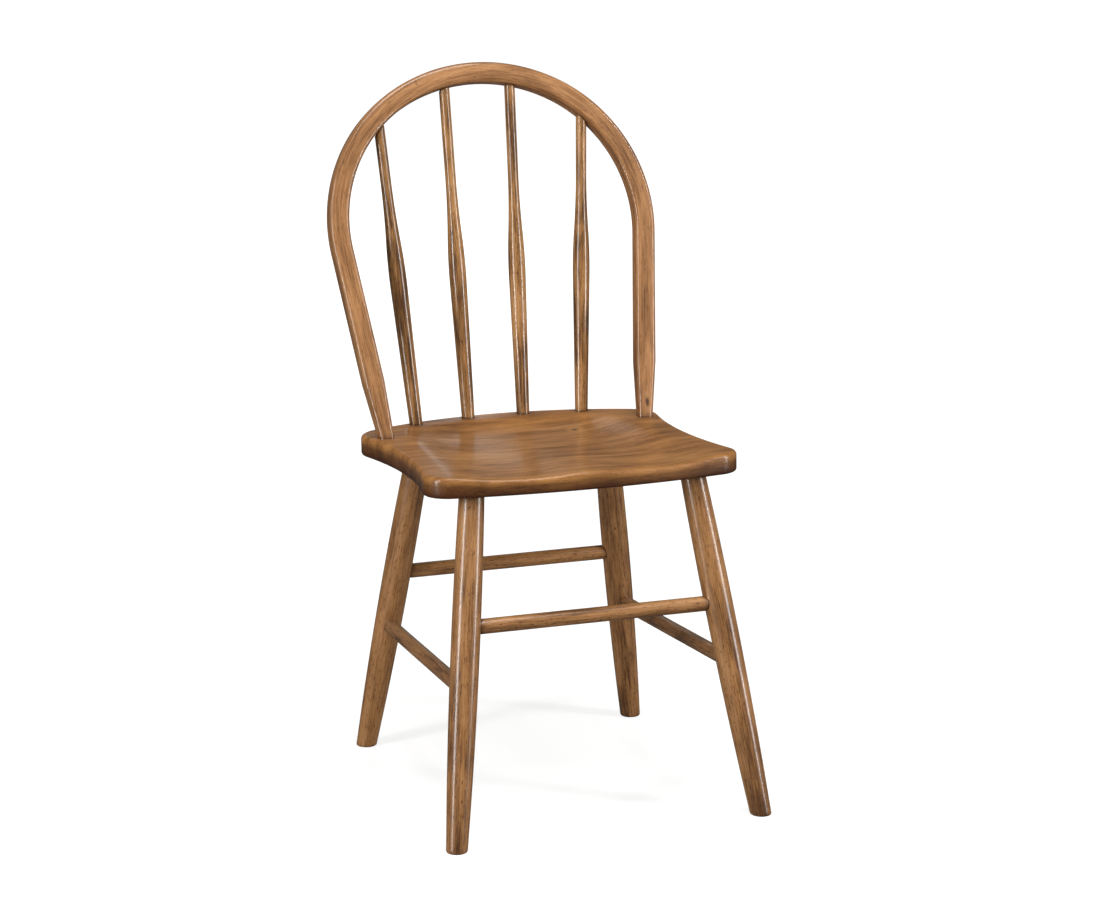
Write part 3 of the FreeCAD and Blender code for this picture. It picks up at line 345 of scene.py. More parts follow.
# %% Seat formulas
def dish_depth(x, y):
    """Depth of the hollow under the seat's plane.

    q is the fourth root of (x / half width)^4 + (distance behind the middle / rear reach)^4. The depth is
    the full depth times (1 - q^5)^2, and a bell across the front takes part of it away for the pommel.
    """
    ahead = np.maximum(0.0, DISH_MIDDLE - y)
    behind = np.maximum(0.0, y - DISH_MIDDLE)
    half_width = DISH_HALF_WIDTH + DISH_FLARE * ahead
    q = ((np.abs(x) / half_width) ** 4 + (behind / DISH_REAR_REACH) ** 4) ** 0.25
    run = np.clip((y + front_edge) / (DISH_MIDDLE + front_edge), 0, 1)
    ease = run * run * (3 - 2 * run)
    full = DISH_FRONT_DEPTH + (DISH_DEPTH - DISH_FRONT_DEPTH) * ease
    pommel = POMMEL_SHARE * (1 - ease) * np.exp(-(x / POMMEL_HALF_WIDTH) ** 2)
    return full * np.clip(1 - q ** 5, 0, 1) ** 2 * (1 - pommel)


def from_seat(x, y, up):
    """Seat coordinates to the chair's: a turn about X by the tilt, then a lift to the seat's height."""
    turned_y = y * math.cos(SEAT_TILT) + up * math.sin(SEAT_TILT)
    turned_z = up * math.cos(SEAT_TILT) - y * math.sin(SEAT_TILT) + seat_height
    return np.stack(np.broadcast_arrays(x, turned_y, turned_z), axis=-1)


def to_seat(points):
    """The chair's coordinates to the seat's: across, back along the plane, and height over the plane."""
    lifted = points[..., 2] - seat_height
    back = points[..., 1] * math.cos(SEAT_TILT) - lifted * math.sin(SEAT_TILT)
    up = points[..., 1] * math.sin(SEAT_TILT) + lifted * math.cos(SEAT_TILT)
    return points[..., 0], back, up


def over_seat(points):
    """Height of points over the carved seat. It is negative inside the wood."""
    across, back, up = to_seat(points)
    return up + dish_depth(across, back)


def on_seat_plane(x, y, depth=0.0):
    """The point with this x and y on the plane that lies this far under the seat's top plane."""
    return np.array([x, y, seat_height - math.tan(SEAT_TILT) * y - depth / math.cos(SEAT_TILT)])


print("Deepest hollow:", round(float(dish_depth(0.0, DISH_MIDDLE)), 4), "m")

# %% [markdown]
# ## Turned pieces
# Legs, stretchers and spindles come off a lathe, so each is a radius that changes along an axis. The Spin
# tool could make them, but their ends aren't square: a leg is cut to the floor and a spindle fits the hollow
# seat. Here every line along a piece ends where it meets its neighbour, so each joint closes all round.
# Painted shade darkens the surface towards its joints, where shade falls in the corners.

# %% Lathe
HALVINGS = 40
# Where in its plank each kind is cut, and how far on each next piece is, so that no two share a figure.
PLANKS = {
    "leg": ((0.0, 0.0, 0.02), (1.7, 0.31, 0.0)),
    "stretcher": ((0.0, 0.01, 0.0), (2.3, 0.0, 0.27)),
    "spindle": ((0.0, 0.0, 0.05), (1.9, 0.23, 0.0)),
}


def unit(vector):
    """The vector at length one."""
    return vector / np.linalg.norm(vector)


class Axis:
    """A turned piece's axis: where it starts, which way it points, and two directions across it."""

    def __init__(self, start, end, lean):
        self.start = start
        self.way = unit(end - start)
        self.length = float(np.linalg.norm(end - start))
        self.out = unit(np.cross(lean, self.way))
        self.side = np.cross(self.way, self.out)

    def rim(self, around):
        """Directions across the axis, cos(angle) out + sin(angle) side, evenly spaced."""
        angle = np.linspace(0, 2 * np.pi, around, endpoint=False)
        return np.cos(angle)[:, None] * self.out + np.sin(angle)[:, None] * self.side

    def places(self, along, radius, rim):
        """The point start + along way + radius rim, for arrays of along and radius."""
        return self.start + along[..., None] * self.way + radius[..., None] * rim

    def cut(self, radius, around, outside, low, high):
        """Where each line of the side passes from inside to outside, by halving its range, all lines at once.

        The sign of outside(points) must be negative at low and positive at high.
        """
        rim = self.rim(around)
        low = np.full(around, low)
        high = np.full(around, high)
        for _ in range(HALVINGS):
            middle = (low + high) / 2
            beyond = outside(self.places(middle, radius(middle), rim)) > 0
            high = np.where(beyond, middle, high)
            low = np.where(beyond, low, middle)
        return (low + high) / 2


def turned(name, number, axis, rows, tips, around, joints):
    """A turned piece from rows of (along, radius) arrays, closed at two tips along the axis.

    A point's plank place is (along, across, across) from where the piece is cut. A joint is its curve, the
    reach of its painted shade in metres and its share. The painted shade, drawn darker towards the joint, is
    share exp(-distance from the curve / reach).
    """
    start, step = PLANKS[name.split("_")[0]]
    cut_from = np.array(start) + number * np.array(step)
    along = np.array([np.broadcast_to(row[0], around) for row in rows])
    radius = np.array([np.broadcast_to(row[1], around) for row in rows])
    rings = axis.places(along, radius, axis.rim(around))
    angle = np.linspace(0, 2 * np.pi, around, endpoint=False)
    plank = np.stack((along, radius * np.cos(angle), radius * np.sin(angle)), axis=-1) + cut_from
    ends = [axis.start + tip * axis.way for tip in tips]
    plank_ends = [np.array([tip, 0, 0]) + cut_from for tip in tips]
    shade = sum(share * np.exp(-np.abs(along - curve) / reach) for curve, reach, share in joints)
    return skin(name, rings, plank, ends, plank_ends, np.clip(shade, 0, 1))


def stations(low, high, count):
    """Evenly spaced arrays from one end curve to the other, both included."""
    share = np.linspace(0, 1, count)[:, None]
    return (1 - share) * low + share * high


print("Lathe is ready")

# %% [markdown]
# ## Legs
# Each leg swells to a soft belly a little over half way up, which a cone would miss. Its side is one arc
# through three radii, its foot is cut flat to the floor and lightly rounded, and its shoulder stops under the
# seat, where a thinner tenon goes on into the wood.

# %% Leg measures
FEET = {"front": (0.2060, -0.2649), "rear": (0.1926, 0.1704)}
SOCKETS = {"front": (0.1488, -0.1595), "rear": (0.1325, 0.1124)}
LEG_FOOT_RADIUS = 0.0136
BELLY_RADIUS = 0.0184
BELLY_HEIGHT = 0.265
LEG_TOP_RADIUS = 0.0161
LEG_FOOT_ROUNDING = 0.0020
LEG_TENON_RADIUS = 0.0125
LEG_TENON_LENGTH = 0.015
LEG_TENON_ROUNDING = 0.0010
LEG_AROUND = 96
LEG_ROWS = 120
FOOT_FACE_SHARES = (0.35, 0.7, 0.85)
FOOT_ROUNDING_ANGLES = np.radians([0, 22.5, 45, 67.5])
# Painted shade at a joint: how far it reaches in metres, and its share.
LEG_FOOT_SHADE = (0.002, 0.6)
LEG_TOP_SHADE = (0.006, 0.9)
RIGHT, BACK, UP = np.eye(3)
SIDES = (("left", -1), ("right", 1))


class Leg(Axis):
    """One leg's axis and the radius along it: an arc through its foot, belly and top."""

    def __init__(self, end, side, sign):
        foot = np.array([sign * FEET[end][0], FEET[end][1], 0.0])
        socket = on_seat_plane(sign * SOCKETS[end][0], SOCKETS[end][1], SEAT_THICKNESS)
        super().__init__(foot, socket, BACK)
        self.name = "leg_%s_%s" % (end, side)
        belly_out = BELLY_RADIUS - LEG_FOOT_RADIUS
        top_out = LEG_TOP_RADIUS - LEG_FOOT_RADIUS
        belly_share = (belly_out ** 2 + BELLY_HEIGHT ** 2) / 2
        top_share = (top_out ** 2 + self.length ** 2) / 2
        turn = belly_out * self.length - top_out * BELLY_HEIGHT
        out = (belly_share * self.length - top_share * BELLY_HEIGHT) / turn
        self.centre_height = (belly_out * top_share - top_out * belly_share) / turn
        self.centre_radius = LEG_FOOT_RADIUS + out
        self.arc = math.hypot(out, self.centre_height)

    def radius(self, along):
        """Centre plus the root of (arc^2 - (along - centre height)^2)."""
        return self.centre_radius + np.sqrt(self.arc ** 2 - (along - self.centre_height) ** 2)

    def outside(self, points):
        """Distance of points from the leg's side. It is negative inside the wood."""
        rise = (points - self.start) @ self.way
        spread = np.linalg.norm(points - self.start - rise[..., None] * self.way, axis=-1)
        return spread - self.radius(rise)

    def at_height(self, height):
        """The point of the axis at this height over the floor."""
        return self.start + self.way * (height / self.way[2])


legs = {(end, side): Leg(end, side, sign) for end in ("front", "rear") for side, sign in SIDES}
print("Leg lengths:", [round(leg.length, 4) for leg in legs.values()])


# %% Legs
def make_leg(leg, number):
    """The leg's rows: floor face, rounded rim, side, shoulder under the seat, tenon."""
    reach = 2 * BELLY_RADIUS
    floor_cut = leg.cut(leg.radius, LEG_AROUND, lambda points: points[..., 2], -reach, reach)
    seat_cut = leg.cut(leg.radius, LEG_AROUND, lambda points: to_seat(points)[2] + SEAT_THICKNESS,
                       leg.length - reach, leg.length + reach)
    rim_radius = leg.radius(floor_cut)
    rows = []
    for share in FOOT_FACE_SHARES:
        face_radius = (rim_radius - LEG_FOOT_ROUNDING) * share
        rows.append((floor_cut * face_radius / rim_radius, face_radius))
    for angle in FOOT_ROUNDING_ANGLES:
        edge_radius = rim_radius - LEG_FOOT_ROUNDING * (1 - np.sin(angle))
        lift = LEG_FOOT_ROUNDING * (1 - np.cos(angle))
        rows.append((floor_cut * edge_radius / rim_radius + lift, edge_radius))
    for along in stations(floor_cut + LEG_FOOT_ROUNDING, seat_cut, LEG_ROWS):
        rows.append((along, leg.radius(along)))
    shoulder = leg.length + (seat_cut - leg.length) * (LEG_TENON_RADIUS / leg.radius(seat_cut))
    end = leg.length + LEG_TENON_LENGTH
    rows += [(shoulder, LEG_TENON_RADIUS), (end - LEG_TENON_ROUNDING, LEG_TENON_RADIUS),
             (end, LEG_TENON_RADIUS - LEG_TENON_ROUNDING)]
    joints = [(floor_cut, *LEG_FOOT_SHADE), (seat_cut, *LEG_TOP_SHADE)]
    return turned(leg.name, number, leg, rows, (0.0, end), LEG_AROUND, joints)


leg_pieces = [dress(make_leg(leg, number), "leg_wood", leg.name)
              for number, leg in enumerate(legs.values(), 1)]
print("Legs:", [piece.name for piece in leg_pieces])

# %% [markdown]
# ## Stretchers
# Four plain rods tie the legs together. Their ends sink into the round legs, so wood meets wood in a curve.
# The Boolean modifier could cut it, but leaves ragged shading. The lathe measures it instead, and turns the
# rod a hair thinner just before it, which leaves the fine dark line of a real joint.

# %% Stretchers
ROD_RADIUS = 0.00975
ROD_TENON_RADIUS = 0.0070
ROD_TENON_LENGTH = 0.014
ROD_AROUND = 64
ROD_ROWS = 60
# Painted shade where the rod enters a leg: its reach in metres and its share.
ROD_SHADE = (0.003, 0.9)
GROOVE_WIDTH = 0.0011
GROOVE_DEPTH = 0.0006
# How far from the joint, in groove widths, and which share of the depth is left there. It ends at the reach.
GROOVE_PROFILE = ((0.3, 1.0), (0.8, 0.25))
GROOVE_REACH = 1.5 * GROOVE_WIDTH
# Each stretcher's two legs, and the heights at which it meets them.
STRETCHERS = {
    "stretcher_front": (("front", "left"), ("front", "right"), 0.2692, 0.2692),
    "stretcher_rear": (("rear", "left"), ("rear", "right"), 0.2507, 0.2507),
    "stretcher_left": (("rear", "left"), ("front", "left"), 0.1761, 0.1944),
    "stretcher_right": (("rear", "right"), ("front", "right"), 0.1761, 0.1944),
}


def stretcher_end(curve, shoulder, tip, sense):
    """One end's rows from its tip inwards: tenon, shoulder and groove. Sense is the way inwards, 1 or -1."""
    rows = [(tip, ROD_TENON_RADIUS - GROOVE_DEPTH), (tip + sense * GROOVE_DEPTH, ROD_TENON_RADIUS),
            (shoulder, ROD_TENON_RADIUS), (shoulder, ROD_RADIUS - GROOVE_DEPTH)]
    for widths, depth_left in GROOVE_PROFILE:
        rows.append((curve + sense * GROOVE_WIDTH * widths, ROD_RADIUS - GROOVE_DEPTH * depth_left))
    return rows


def make_stretcher(name, number, first, second, first_height, second_height):
    """A rod from one leg to the other, grooved where it enters each, with a tenon inside."""
    axis = Axis(first.at_height(first_height), second.at_height(second_height), UP)
    reach = 2 * BELLY_RADIUS

    def plain(along):
        return np.full(along.shape, ROD_RADIUS)

    enter = axis.cut(plain, ROD_AROUND, first.outside, 0.0, reach)
    leave = axis.cut(plain, ROD_AROUND, lambda points: -second.outside(points),
                     axis.length - reach, axis.length)
    first_shoulder = float(enter.min()) - GROOVE_DEPTH
    second_shoulder = float(leave.max()) + GROOVE_DEPTH
    start = first_shoulder - ROD_TENON_LENGTH
    end = second_shoulder + ROD_TENON_LENGTH
    rows = stretcher_end(enter, first_shoulder, start, 1)
    for along in stations(enter + GROOVE_REACH, leave - GROOVE_REACH, ROD_ROWS):
        rows.append((along, ROD_RADIUS))
    rows += stretcher_end(leave, second_shoulder, end, -1)[::-1]
    joints = [(enter, *ROD_SHADE), (leave, *ROD_SHADE)]
    return turned(name, number, axis, rows, (start, end), ROD_AROUND, joints)


stretcher_pieces = []
for number, (name, (first, second, *heights)) in enumerate(STRETCHERS.items(), 1):
    piece = make_stretcher(name, number, legs[first], legs[second], *heights)
    stretcher_pieces.append(dress(piece, "leg_wood", name))
print("Stretchers:", [piece.name for piece in stretcher_pieces])

# %% [markdown]
# ## The hoop
# A straight rail, nearly square with soft edges, is steamed and bent into an arch. A curve with a bevel could
# make the bend. But with a profile carried along the path by formula, the feet can thin on their way into the
# seat, and each point's plank place is its place on the rail before the bend.

# %% Hoop measures
HOOP_WIDTH = 0.0272
HOOP_DEPTH = 0.0240
HOOP_EDGE = 0.0055
HOOP_FOOT_Y = 0.0957
HOOP_LEAN = math.radians(20.5)
HOOP_RISE = 0.4808
CROWN_RADIUS = 0.227
CROWN_HALF = math.radians(28.0)
SHOULDER_RADIUS = 0.203
DRAW_IN = math.radians(7.0)
TAPER_HEIGHT = 0.075
FOOT_WIDTH = 0.020
FOOT_DEPTH = 0.019
FOOT_EDGE = 0.006
HOOP_TENON_RADIUS = 0.008
HOOP_TENON_LENGTH = 0.018
# Just under 1, so that the flats of the tenon keep some width.
TENON_ROUNDNESS = 0.999
# Painted shade on the hoop's feet towards the seat: its reach in metres and its most.
HOOP_SHADE_REACH = 0.003
HOOP_SHADE_MOST = 0.9
HOOP_ROWS = 420
CORNER_STEPS = 9
FLAT_STEPS = 7

crown_height = HOOP_RISE - CROWN_RADIUS
shoulder_x = (CROWN_RADIUS - SHOULDER_RADIUS) * math.sin(CROWN_HALF)
shoulder_height = crown_height + (CROWN_RADIUS - SHOULDER_RADIUS) * math.cos(CROWN_HALF)
crown_run = CROWN_RADIUS * CROWN_HALF
shoulder_run = SHOULDER_RADIUS * (math.pi / 2 + DRAW_IN - CROWN_HALF)
leg_top_height = shoulder_height - SHOULDER_RADIUS * math.sin(DRAW_IN)
straight_run = leg_top_height / math.cos(DRAW_IN)
half_hoop = crown_run + shoulder_run + straight_run
inner_crown_end = (CROWN_RADIUS - HOOP_WIDTH / 2) * math.sin(CROWN_HALF)
hoop_base = on_seat_plane(0.0, HOOP_FOOT_Y)
hoop_up = np.array([0.0, math.sin(HOOP_LEAN), math.cos(HOOP_LEAN)])
hoop_back = np.array([0.0, math.cos(HOOP_LEAN), -math.sin(HOOP_LEAN)])
print("Rail length between the seat's planes:", round(2 * half_hoop, 3), "m")


# %% Hoop formulas
def hoop_path(run):
    """Centre line of the hoop at a signed distance from the crown: across, up, and its angle from upright.

    The crown arc comes first, then the shoulder arc, then the straight leg that draws in.
    """
    side = np.sign(run)
    run = np.abs(run)
    in_crown = np.minimum(run, crown_run)
    in_shoulder = np.clip(run - crown_run, 0, shoulder_run)
    in_leg = np.maximum(run - crown_run - shoulder_run, 0)
    angle = in_crown / CROWN_RADIUS + in_shoulder / SHOULDER_RADIUS
    past_crown = run > crown_run
    centre_x = np.where(past_crown, shoulder_x, 0.0)
    centre_up = np.where(past_crown, shoulder_height, crown_height)
    radius = np.where(past_crown, SHOULDER_RADIUS, CROWN_RADIUS)
    across = centre_x + radius * np.sin(angle) + in_leg * np.cos(angle)
    up = centre_up + radius * np.cos(angle) - in_leg * np.sin(angle)
    return side * across, up, side * angle


def rounded_box(width, depth, edge):
    """A box outline with round corners, counter-clockwise: four quarter circles joined by even flats."""
    share = np.linspace(0, 1, FLAT_STEPS + 2)[1:-1, None]
    corners = []
    for turn, x, y in ((0, 1, 1), (1, -1, 1), (2, -1, -1), (3, 1, -1)):
        angle = np.linspace(0, np.pi / 2, CORNER_STEPS) + turn * np.pi / 2
        middle = np.array([x * (width / 2 - edge), y * (depth / 2 - edge)])
        corners.append(middle + edge * np.column_stack((np.cos(angle), np.sin(angle))))
    box = []
    for corner, following in zip(corners, corners[1:] + corners[:1]):
        box += [corner, (1 - share) * corner[-1] + share * following[0]]
    return np.concatenate(box)


def in_hoop_plane(across, up, back=0.0):
    """A point from its distance across, up the leaning plane and behind it."""
    across, up, back = (part[..., None] for part in np.broadcast_arrays(across, up, back))
    return hoop_base + across * RIGHT + up * hoop_up + back * hoop_back


print("Outline points of the rail:", len(rounded_box(HOOP_WIDTH, HOOP_DEPTH, HOOP_EDGE)))


# %% Hoop
def make_hoop():
    """The rail's rows from the right foot's tenon over the crown to the left one.

    Its section changes evenly from the full one to the foot's. A point is the path's, plus out sin(angle)
    across and out cos(angle) up.
    """
    tip = half_hoop + HOOP_TENON_LENGTH
    share = np.linspace(-1, 1, HOOP_ROWS)[::-1]
    run = np.concatenate(([tip], share * (half_hoop + DISH_DEPTH), [-tip]))
    across, up, angle = hoop_path(run)
    taper = np.clip(1 - (half_hoop - np.abs(run)) / TAPER_HEIGHT, 0, 1)[:, None, None]
    full = rounded_box(HOOP_WIDTH, HOOP_DEPTH, HOOP_EDGE)
    foot = rounded_box(FOOT_WIDTH, FOOT_DEPTH, FOOT_EDGE)
    tenon_width = 2 * HOOP_TENON_RADIUS
    section = (1 - taper) * full + taper * foot
    section[[0, -1]] = rounded_box(tenon_width, tenon_width, HOOP_TENON_RADIUS * TENON_ROUNDNESS)
    out, back = np.moveaxis(section, -1, 0)
    turn = angle[:, None]
    rings = in_hoop_plane(across[:, None] + out * np.sin(turn), up[:, None] + out * np.cos(turn), back)
    plank = np.stack((np.broadcast_to(run[:, None], out.shape), out, back), axis=-1)
    ends = in_hoop_plane(across[[0, -1]], up[[0, -1]])
    plank_ends = np.column_stack((run[[0, -1]], [0, 0], [0, 0]))
    # Painted shade: darker where the feet meet the seat.
    shade = np.clip(np.exp(-np.abs(over_seat(rings)) / HOOP_SHADE_REACH), 0, HOOP_SHADE_MOST)
    return skin("back_hoop", rings, plank, ends, plank_ends, shade)


hoop_piece = dress(make_hoop(), "hoop_wood", "back_hoop")
print("Hoop:", len(hoop_piece.data.vertices), "points")

# %% [markdown]
# ## Spindles
# Each spindle swells below its middle, which a cone would miss. So its profile is a line, an arc, a hollow
# arc and a line. The foot is cut to the carved seat, and the neck ends in a small rounded shoulder under the
# hoop, so a thin shadow rings the joint.

# %% Spindle measures
SPINDLE_FEET = {"inner": (0.0392, 0.1837), "outer": (0.1179, 0.1682)}
SPINDLE_TOPS = {"inner": 0.0463, "outer": 0.1428}
SPINDLE_FOOT_RADIUS = 0.00865
SWELL_RADIUS = 0.0115
SWELL_HEIGHT = 0.193
SWELL_CURVE = 0.800
NECK_RADIUS = 0.0071
NECK_HEIGHT = 0.325
SPINDLE_FOOT_SOCKET = 0.018
SPINDLE_TENON_RADIUS = 0.0055
SPINDLE_TENON_LENGTH = 0.014
# The shoulder's radius, how far under the hoop it starts, and the angles of its rows.
SHOULDER_ROUNDING = 0.0018
SHOULDER_START = SHOULDER_ROUNDING * 1.4
SHOULDER_ANGLES = np.radians([20, 40, 60, 80])
# Painted shade at both joints: its reach in metres and its share.
SPINDLE_SHADE = (0.002, 0.9)
SPINDLE_AROUND = 64
SPINDLE_ROWS = 130

# The swell's arc and the hollow's arc touch where the line through their centres crosses both.
fall = SWELL_RADIUS - NECK_RADIUS
neck_run = NECK_HEIGHT - SWELL_HEIGHT
both_arcs = (neck_run ** 2 + fall ** 2) / (2 * fall)
hollow_curve = both_arcs - SWELL_CURVE
join_height = SWELL_HEIGHT + SWELL_CURVE * neck_run / both_arcs
swell_centre = SWELL_RADIUS - SWELL_CURVE
# The straight cone from the foot touches the swell's arc.
aside = swell_centre - SPINDLE_FOOT_RADIUS
to_centre = math.hypot(aside, SWELL_HEIGHT)
cone_run = math.sqrt(to_centre ** 2 - SWELL_CURVE ** 2)
cone_way = math.atan2(SWELL_HEIGHT, aside) - math.asin(SWELL_CURVE / to_centre)
cone_height = cone_run * math.sin(cone_way)
print("Spindle curves meet at:", round(cone_height, 3), round(join_height, 3), NECK_HEIGHT)


# %% Spindle formulas
def spindle_radius(along):
    """Foot cylinder, cone, swelling arc, hollow arc and neck cylinder, each within its own heights."""
    cone = SPINDLE_FOOT_RADIUS + np.clip(along, 0, cone_height) / math.tan(cone_way)
    swell = swell_centre + np.sqrt(SWELL_CURVE ** 2 - (along - SWELL_HEIGHT) ** 2)
    dip = np.clip(along - NECK_HEIGHT, -hollow_curve, 0)
    hollow = NECK_RADIUS + hollow_curve - np.sqrt(hollow_curve ** 2 - dip ** 2)
    return np.select([along < cone_height, along < join_height], [cone, swell], hollow)


def under_hoop(points):
    """Height of points past the hoop's inner side. It is negative in the open space inside the arch."""
    shifted = points - hoop_base
    across = np.abs(shifted[..., 0])
    up = shifted @ hoop_up
    from_crown = np.hypot(across, up - crown_height) - CROWN_RADIUS
    from_shoulder = np.hypot(across - shoulder_x, up - shoulder_height) - SHOULDER_RADIUS
    return np.where(across < inner_crown_end, from_crown, from_shoulder) + HOOP_WIDTH / 2


def hoop_inner_height(across):
    """How far up the hoop's plane its inner side is, at a distance from the middle."""
    if across < inner_crown_end:
        return crown_height + math.sqrt((CROWN_RADIUS - HOOP_WIDTH / 2) ** 2 - across ** 2)
    return shoulder_height + math.sqrt((SHOULDER_RADIUS - HOOP_WIDTH / 2) ** 2 - (across - shoulder_x) ** 2)


print("Spindle tops up the hoop:", [round(hoop_inner_height(across), 4) for across in SPINDLE_TOPS.values()])


# %% Spindles
def make_spindle(name, number, rank, sign):
    """The spindle's rows: foot in its socket, side, rounded shoulder under the hoop, tenon in the hoop."""
    foot = on_seat_plane(sign * SPINDLE_FEET[rank][0], SPINDLE_FEET[rank][1])
    across = SPINDLE_TOPS[rank]
    axis = Axis(foot, in_hoop_plane(sign * across, hoop_inner_height(across)), BACK)
    reach = 2 * SWELL_RADIUS
    seat_cut = axis.cut(spindle_radius, SPINDLE_AROUND, over_seat, -reach, reach)
    hoop_cut = axis.cut(spindle_radius, SPINDLE_AROUND, under_hoop, axis.length - reach, axis.length + reach)
    shoulder = hoop_cut - SHOULDER_START
    rows = [(-SPINDLE_FOOT_SOCKET, SPINDLE_FOOT_RADIUS), (seat_cut - GROOVE_DEPTH, SPINDLE_FOOT_RADIUS)]
    for along in stations(seat_cut, shoulder, SPINDLE_ROWS):
        rows.append((along, spindle_radius(along)))
    for angle in SHOULDER_ANGLES:
        inset = SHOULDER_ROUNDING * (1 - np.cos(angle))
        rows.append((shoulder + SHOULDER_ROUNDING * np.sin(angle), NECK_RADIUS - inset))
    tip = axis.length + SPINDLE_TENON_LENGTH
    rows.append((tip - GROOVE_DEPTH, SPINDLE_TENON_RADIUS - GROOVE_DEPTH))
    joints = [(seat_cut, *SPINDLE_SHADE), (hoop_cut, *SPINDLE_SHADE)]
    return turned(name, number, axis, rows, (-SPINDLE_FOOT_SOCKET, tip), SPINDLE_AROUND, joints)


spindle_pieces = []
for rank in ("outer", "inner"):
    for side, sign in SIDES:
        name = "spindle_%s_%s" % (rank, side)
        piece = make_spindle(name, len(spindle_pieces) + 1, rank, sign)
        spindle_pieces.append(dress(piece, "spindle_wood", name))
print("Spindles:", [piece.name for piece in spindle_pieces])

# %% [markdown]
# ## The seat
# The seat is glued up from four boards, then carved. Boards could be shaped one by one, but the carving
# wouldn't run on smoothly. So one skin is made for the whole seat and cut at the glue lines, and each board
# is a closed piece with grain of its own.

# %% Seat outline
POINTS_PER_METRE = 420
FEWEST_ARC_STEPS = 4


def heading(centre, other):
    """The direction from one point to another, as an angle from +X."""
    return math.atan2(other[1] - centre[1], other[0] - centre[0])


def seat_outline():
    """Points and outward directions along the outline: eight arcs, each touching the next.

    The waist's centre lies outside the seat, at the waist radius plus the corner radius from both corners.
    """
    front = np.array(FRONT_CORNER)
    rear = np.array(REAR_CORNER)
    near = WAIST_RADIUS + FRONT_CORNER_RADIUS
    far = WAIST_RADIUS + REAR_CORNER_RADIUS
    span = np.linalg.norm(rear - front)
    along = (near ** 2 - far ** 2 + span ** 2) / (2 * span)
    way = (rear - front) / span
    waist = front + way * along + np.array([way[1], -way[0]]) * math.sqrt(near ** 2 - along ** 2)
    front_turn = heading((0, front_centre_y), front)
    rear_turn = heading((0, rear_centre_y), rear)
    half = [
        ((0, front_centre_y), FRONT_EDGE_RADIUS, -math.pi / 2, front_turn, 1),
        (front, FRONT_CORNER_RADIUS, front_turn, heading(front, waist), 1),
        (waist, WAIST_RADIUS, heading(waist, front), heading(waist, rear) - 2 * math.pi, -1),
        (rear, REAR_CORNER_RADIUS, heading(rear, waist), rear_turn, 1),
        ((0, rear_centre_y), REAR_EDGE_RADIUS, rear_turn, math.pi / 2, 1),
    ]
    places = []
    ways = []
    for centre, radius, start, end, sense in half:
        steps = max(FEWEST_ARC_STEPS, int(abs(end - start) * radius * POINTS_PER_METRE))
        angle = np.linspace(start, end, steps, endpoint=False)
        out = np.column_stack((np.cos(angle), np.sin(angle)))
        places.append(np.array(centre) + radius * out)
        ways.append(sense * out)
    places.append([[0.0, rear_centre_y + REAR_EDGE_RADIUS]])
    ways.append([[0.0, 1.0]])
    right = np.stack((np.concatenate(places), np.concatenate(ways)))
    left = right[:, -2:0:-1] * (-1, 1)
    return np.concatenate((right, left), axis=1)


outline, outline_ways = seat_outline()
print("Points along the seat's outline:", len(outline))

# %% Seat rings
TOP_RINGS = 96
BOTTOM_RINGS = 12
ROUND_STEPS = 7
EDGE_SHARES = (0.33, 0.67)
# Painted shade: how much darker the edge is at the very bottom, and the whole side under the rounding.
BOTTOM_SHADE = 0.8
SIDE_SHADE = 0.42
# Painted shade around the spindles' feet: its reach in metres and its most.
SEAT_JOINT_SHADE = (0.0025, 0.8)


def seat_rings():
    """Rings of (x, y, up) in the seat's coordinates, from the middle of the underside to the top's middle.

    Inside its edge a ring is the outline shrunk. The rounding moves it in by r (1 - sin a) and down by
    r (1 - cos a).
    """
    rings = []
    lower = outline - BOTTOM_ROUNDING * outline_ways
    for share in np.linspace(0, 1, BOTTOM_RINGS + 1)[1:]:
        rings.append((lower * share, -SEAT_THICKNESS))
    for angle in np.linspace(0, np.pi / 2, ROUND_STEPS)[1:]:
        inset = BOTTOM_ROUNDING * (1 - np.sin(angle))
        rise = BOTTOM_ROUNDING * (1 - np.cos(angle))
        rings.append((outline - inset * outline_ways, rise - SEAT_THICKNESS))
    upper = outline - TOP_ROUNDING * outline_ways
    inner_top = -dish_depth(*upper.T)
    outer_top = -dish_depth(*outline.T)
    rim = outer_top - TOP_ROUNDING
    foot = BOTTOM_ROUNDING - SEAT_THICKNESS
    for share in EDGE_SHARES:
        rings.append((outline, foot + share * (rim - foot)))
    for angle in np.linspace(np.pi / 2, 0, ROUND_STEPS):
        inset = TOP_ROUNDING * (1 - np.sin(angle))
        level = outer_top * np.sin(angle) + inner_top * (1 - np.sin(angle))
        rings.append((outline - inset * outline_ways, level - TOP_ROUNDING * (1 - np.cos(angle))))
    for share in np.linspace(1, 0, TOP_RINGS + 1)[1:-1]:
        inward = upper * share
        rings.append((inward, -dish_depth(*inward.T)))
    return np.array([np.column_stack(np.broadcast_arrays(*place.T, up)) for place, up in rings])


def seat_shade(flat):
    """Painted shade at the edge, more further down, and by spindles' feet as share exp(-gap / reach)."""
    below = -flat[..., 2] - dish_depth(flat[..., 0], flat[..., 1])
    fall = np.clip((below - TOP_ROUNDING / 2) / SEAT_THICKNESS, 0, 1)
    shade = fall * BOTTOM_SHADE + (below > TOP_ROUNDING) * SIDE_SHADE
    reach, most = SEAT_JOINT_SHADE
    for x, y in SPINDLE_FEET.values():
        gap = np.hypot(np.abs(flat[..., 0]) - x, flat[..., 1] - y) - SPINDLE_FOOT_RADIUS
        shade = np.maximum(shade, most * np.exp(-np.maximum(gap, 0) / reach))
    return shade


flat_rings = seat_rings()
print("Seat rings:", flat_rings.shape)

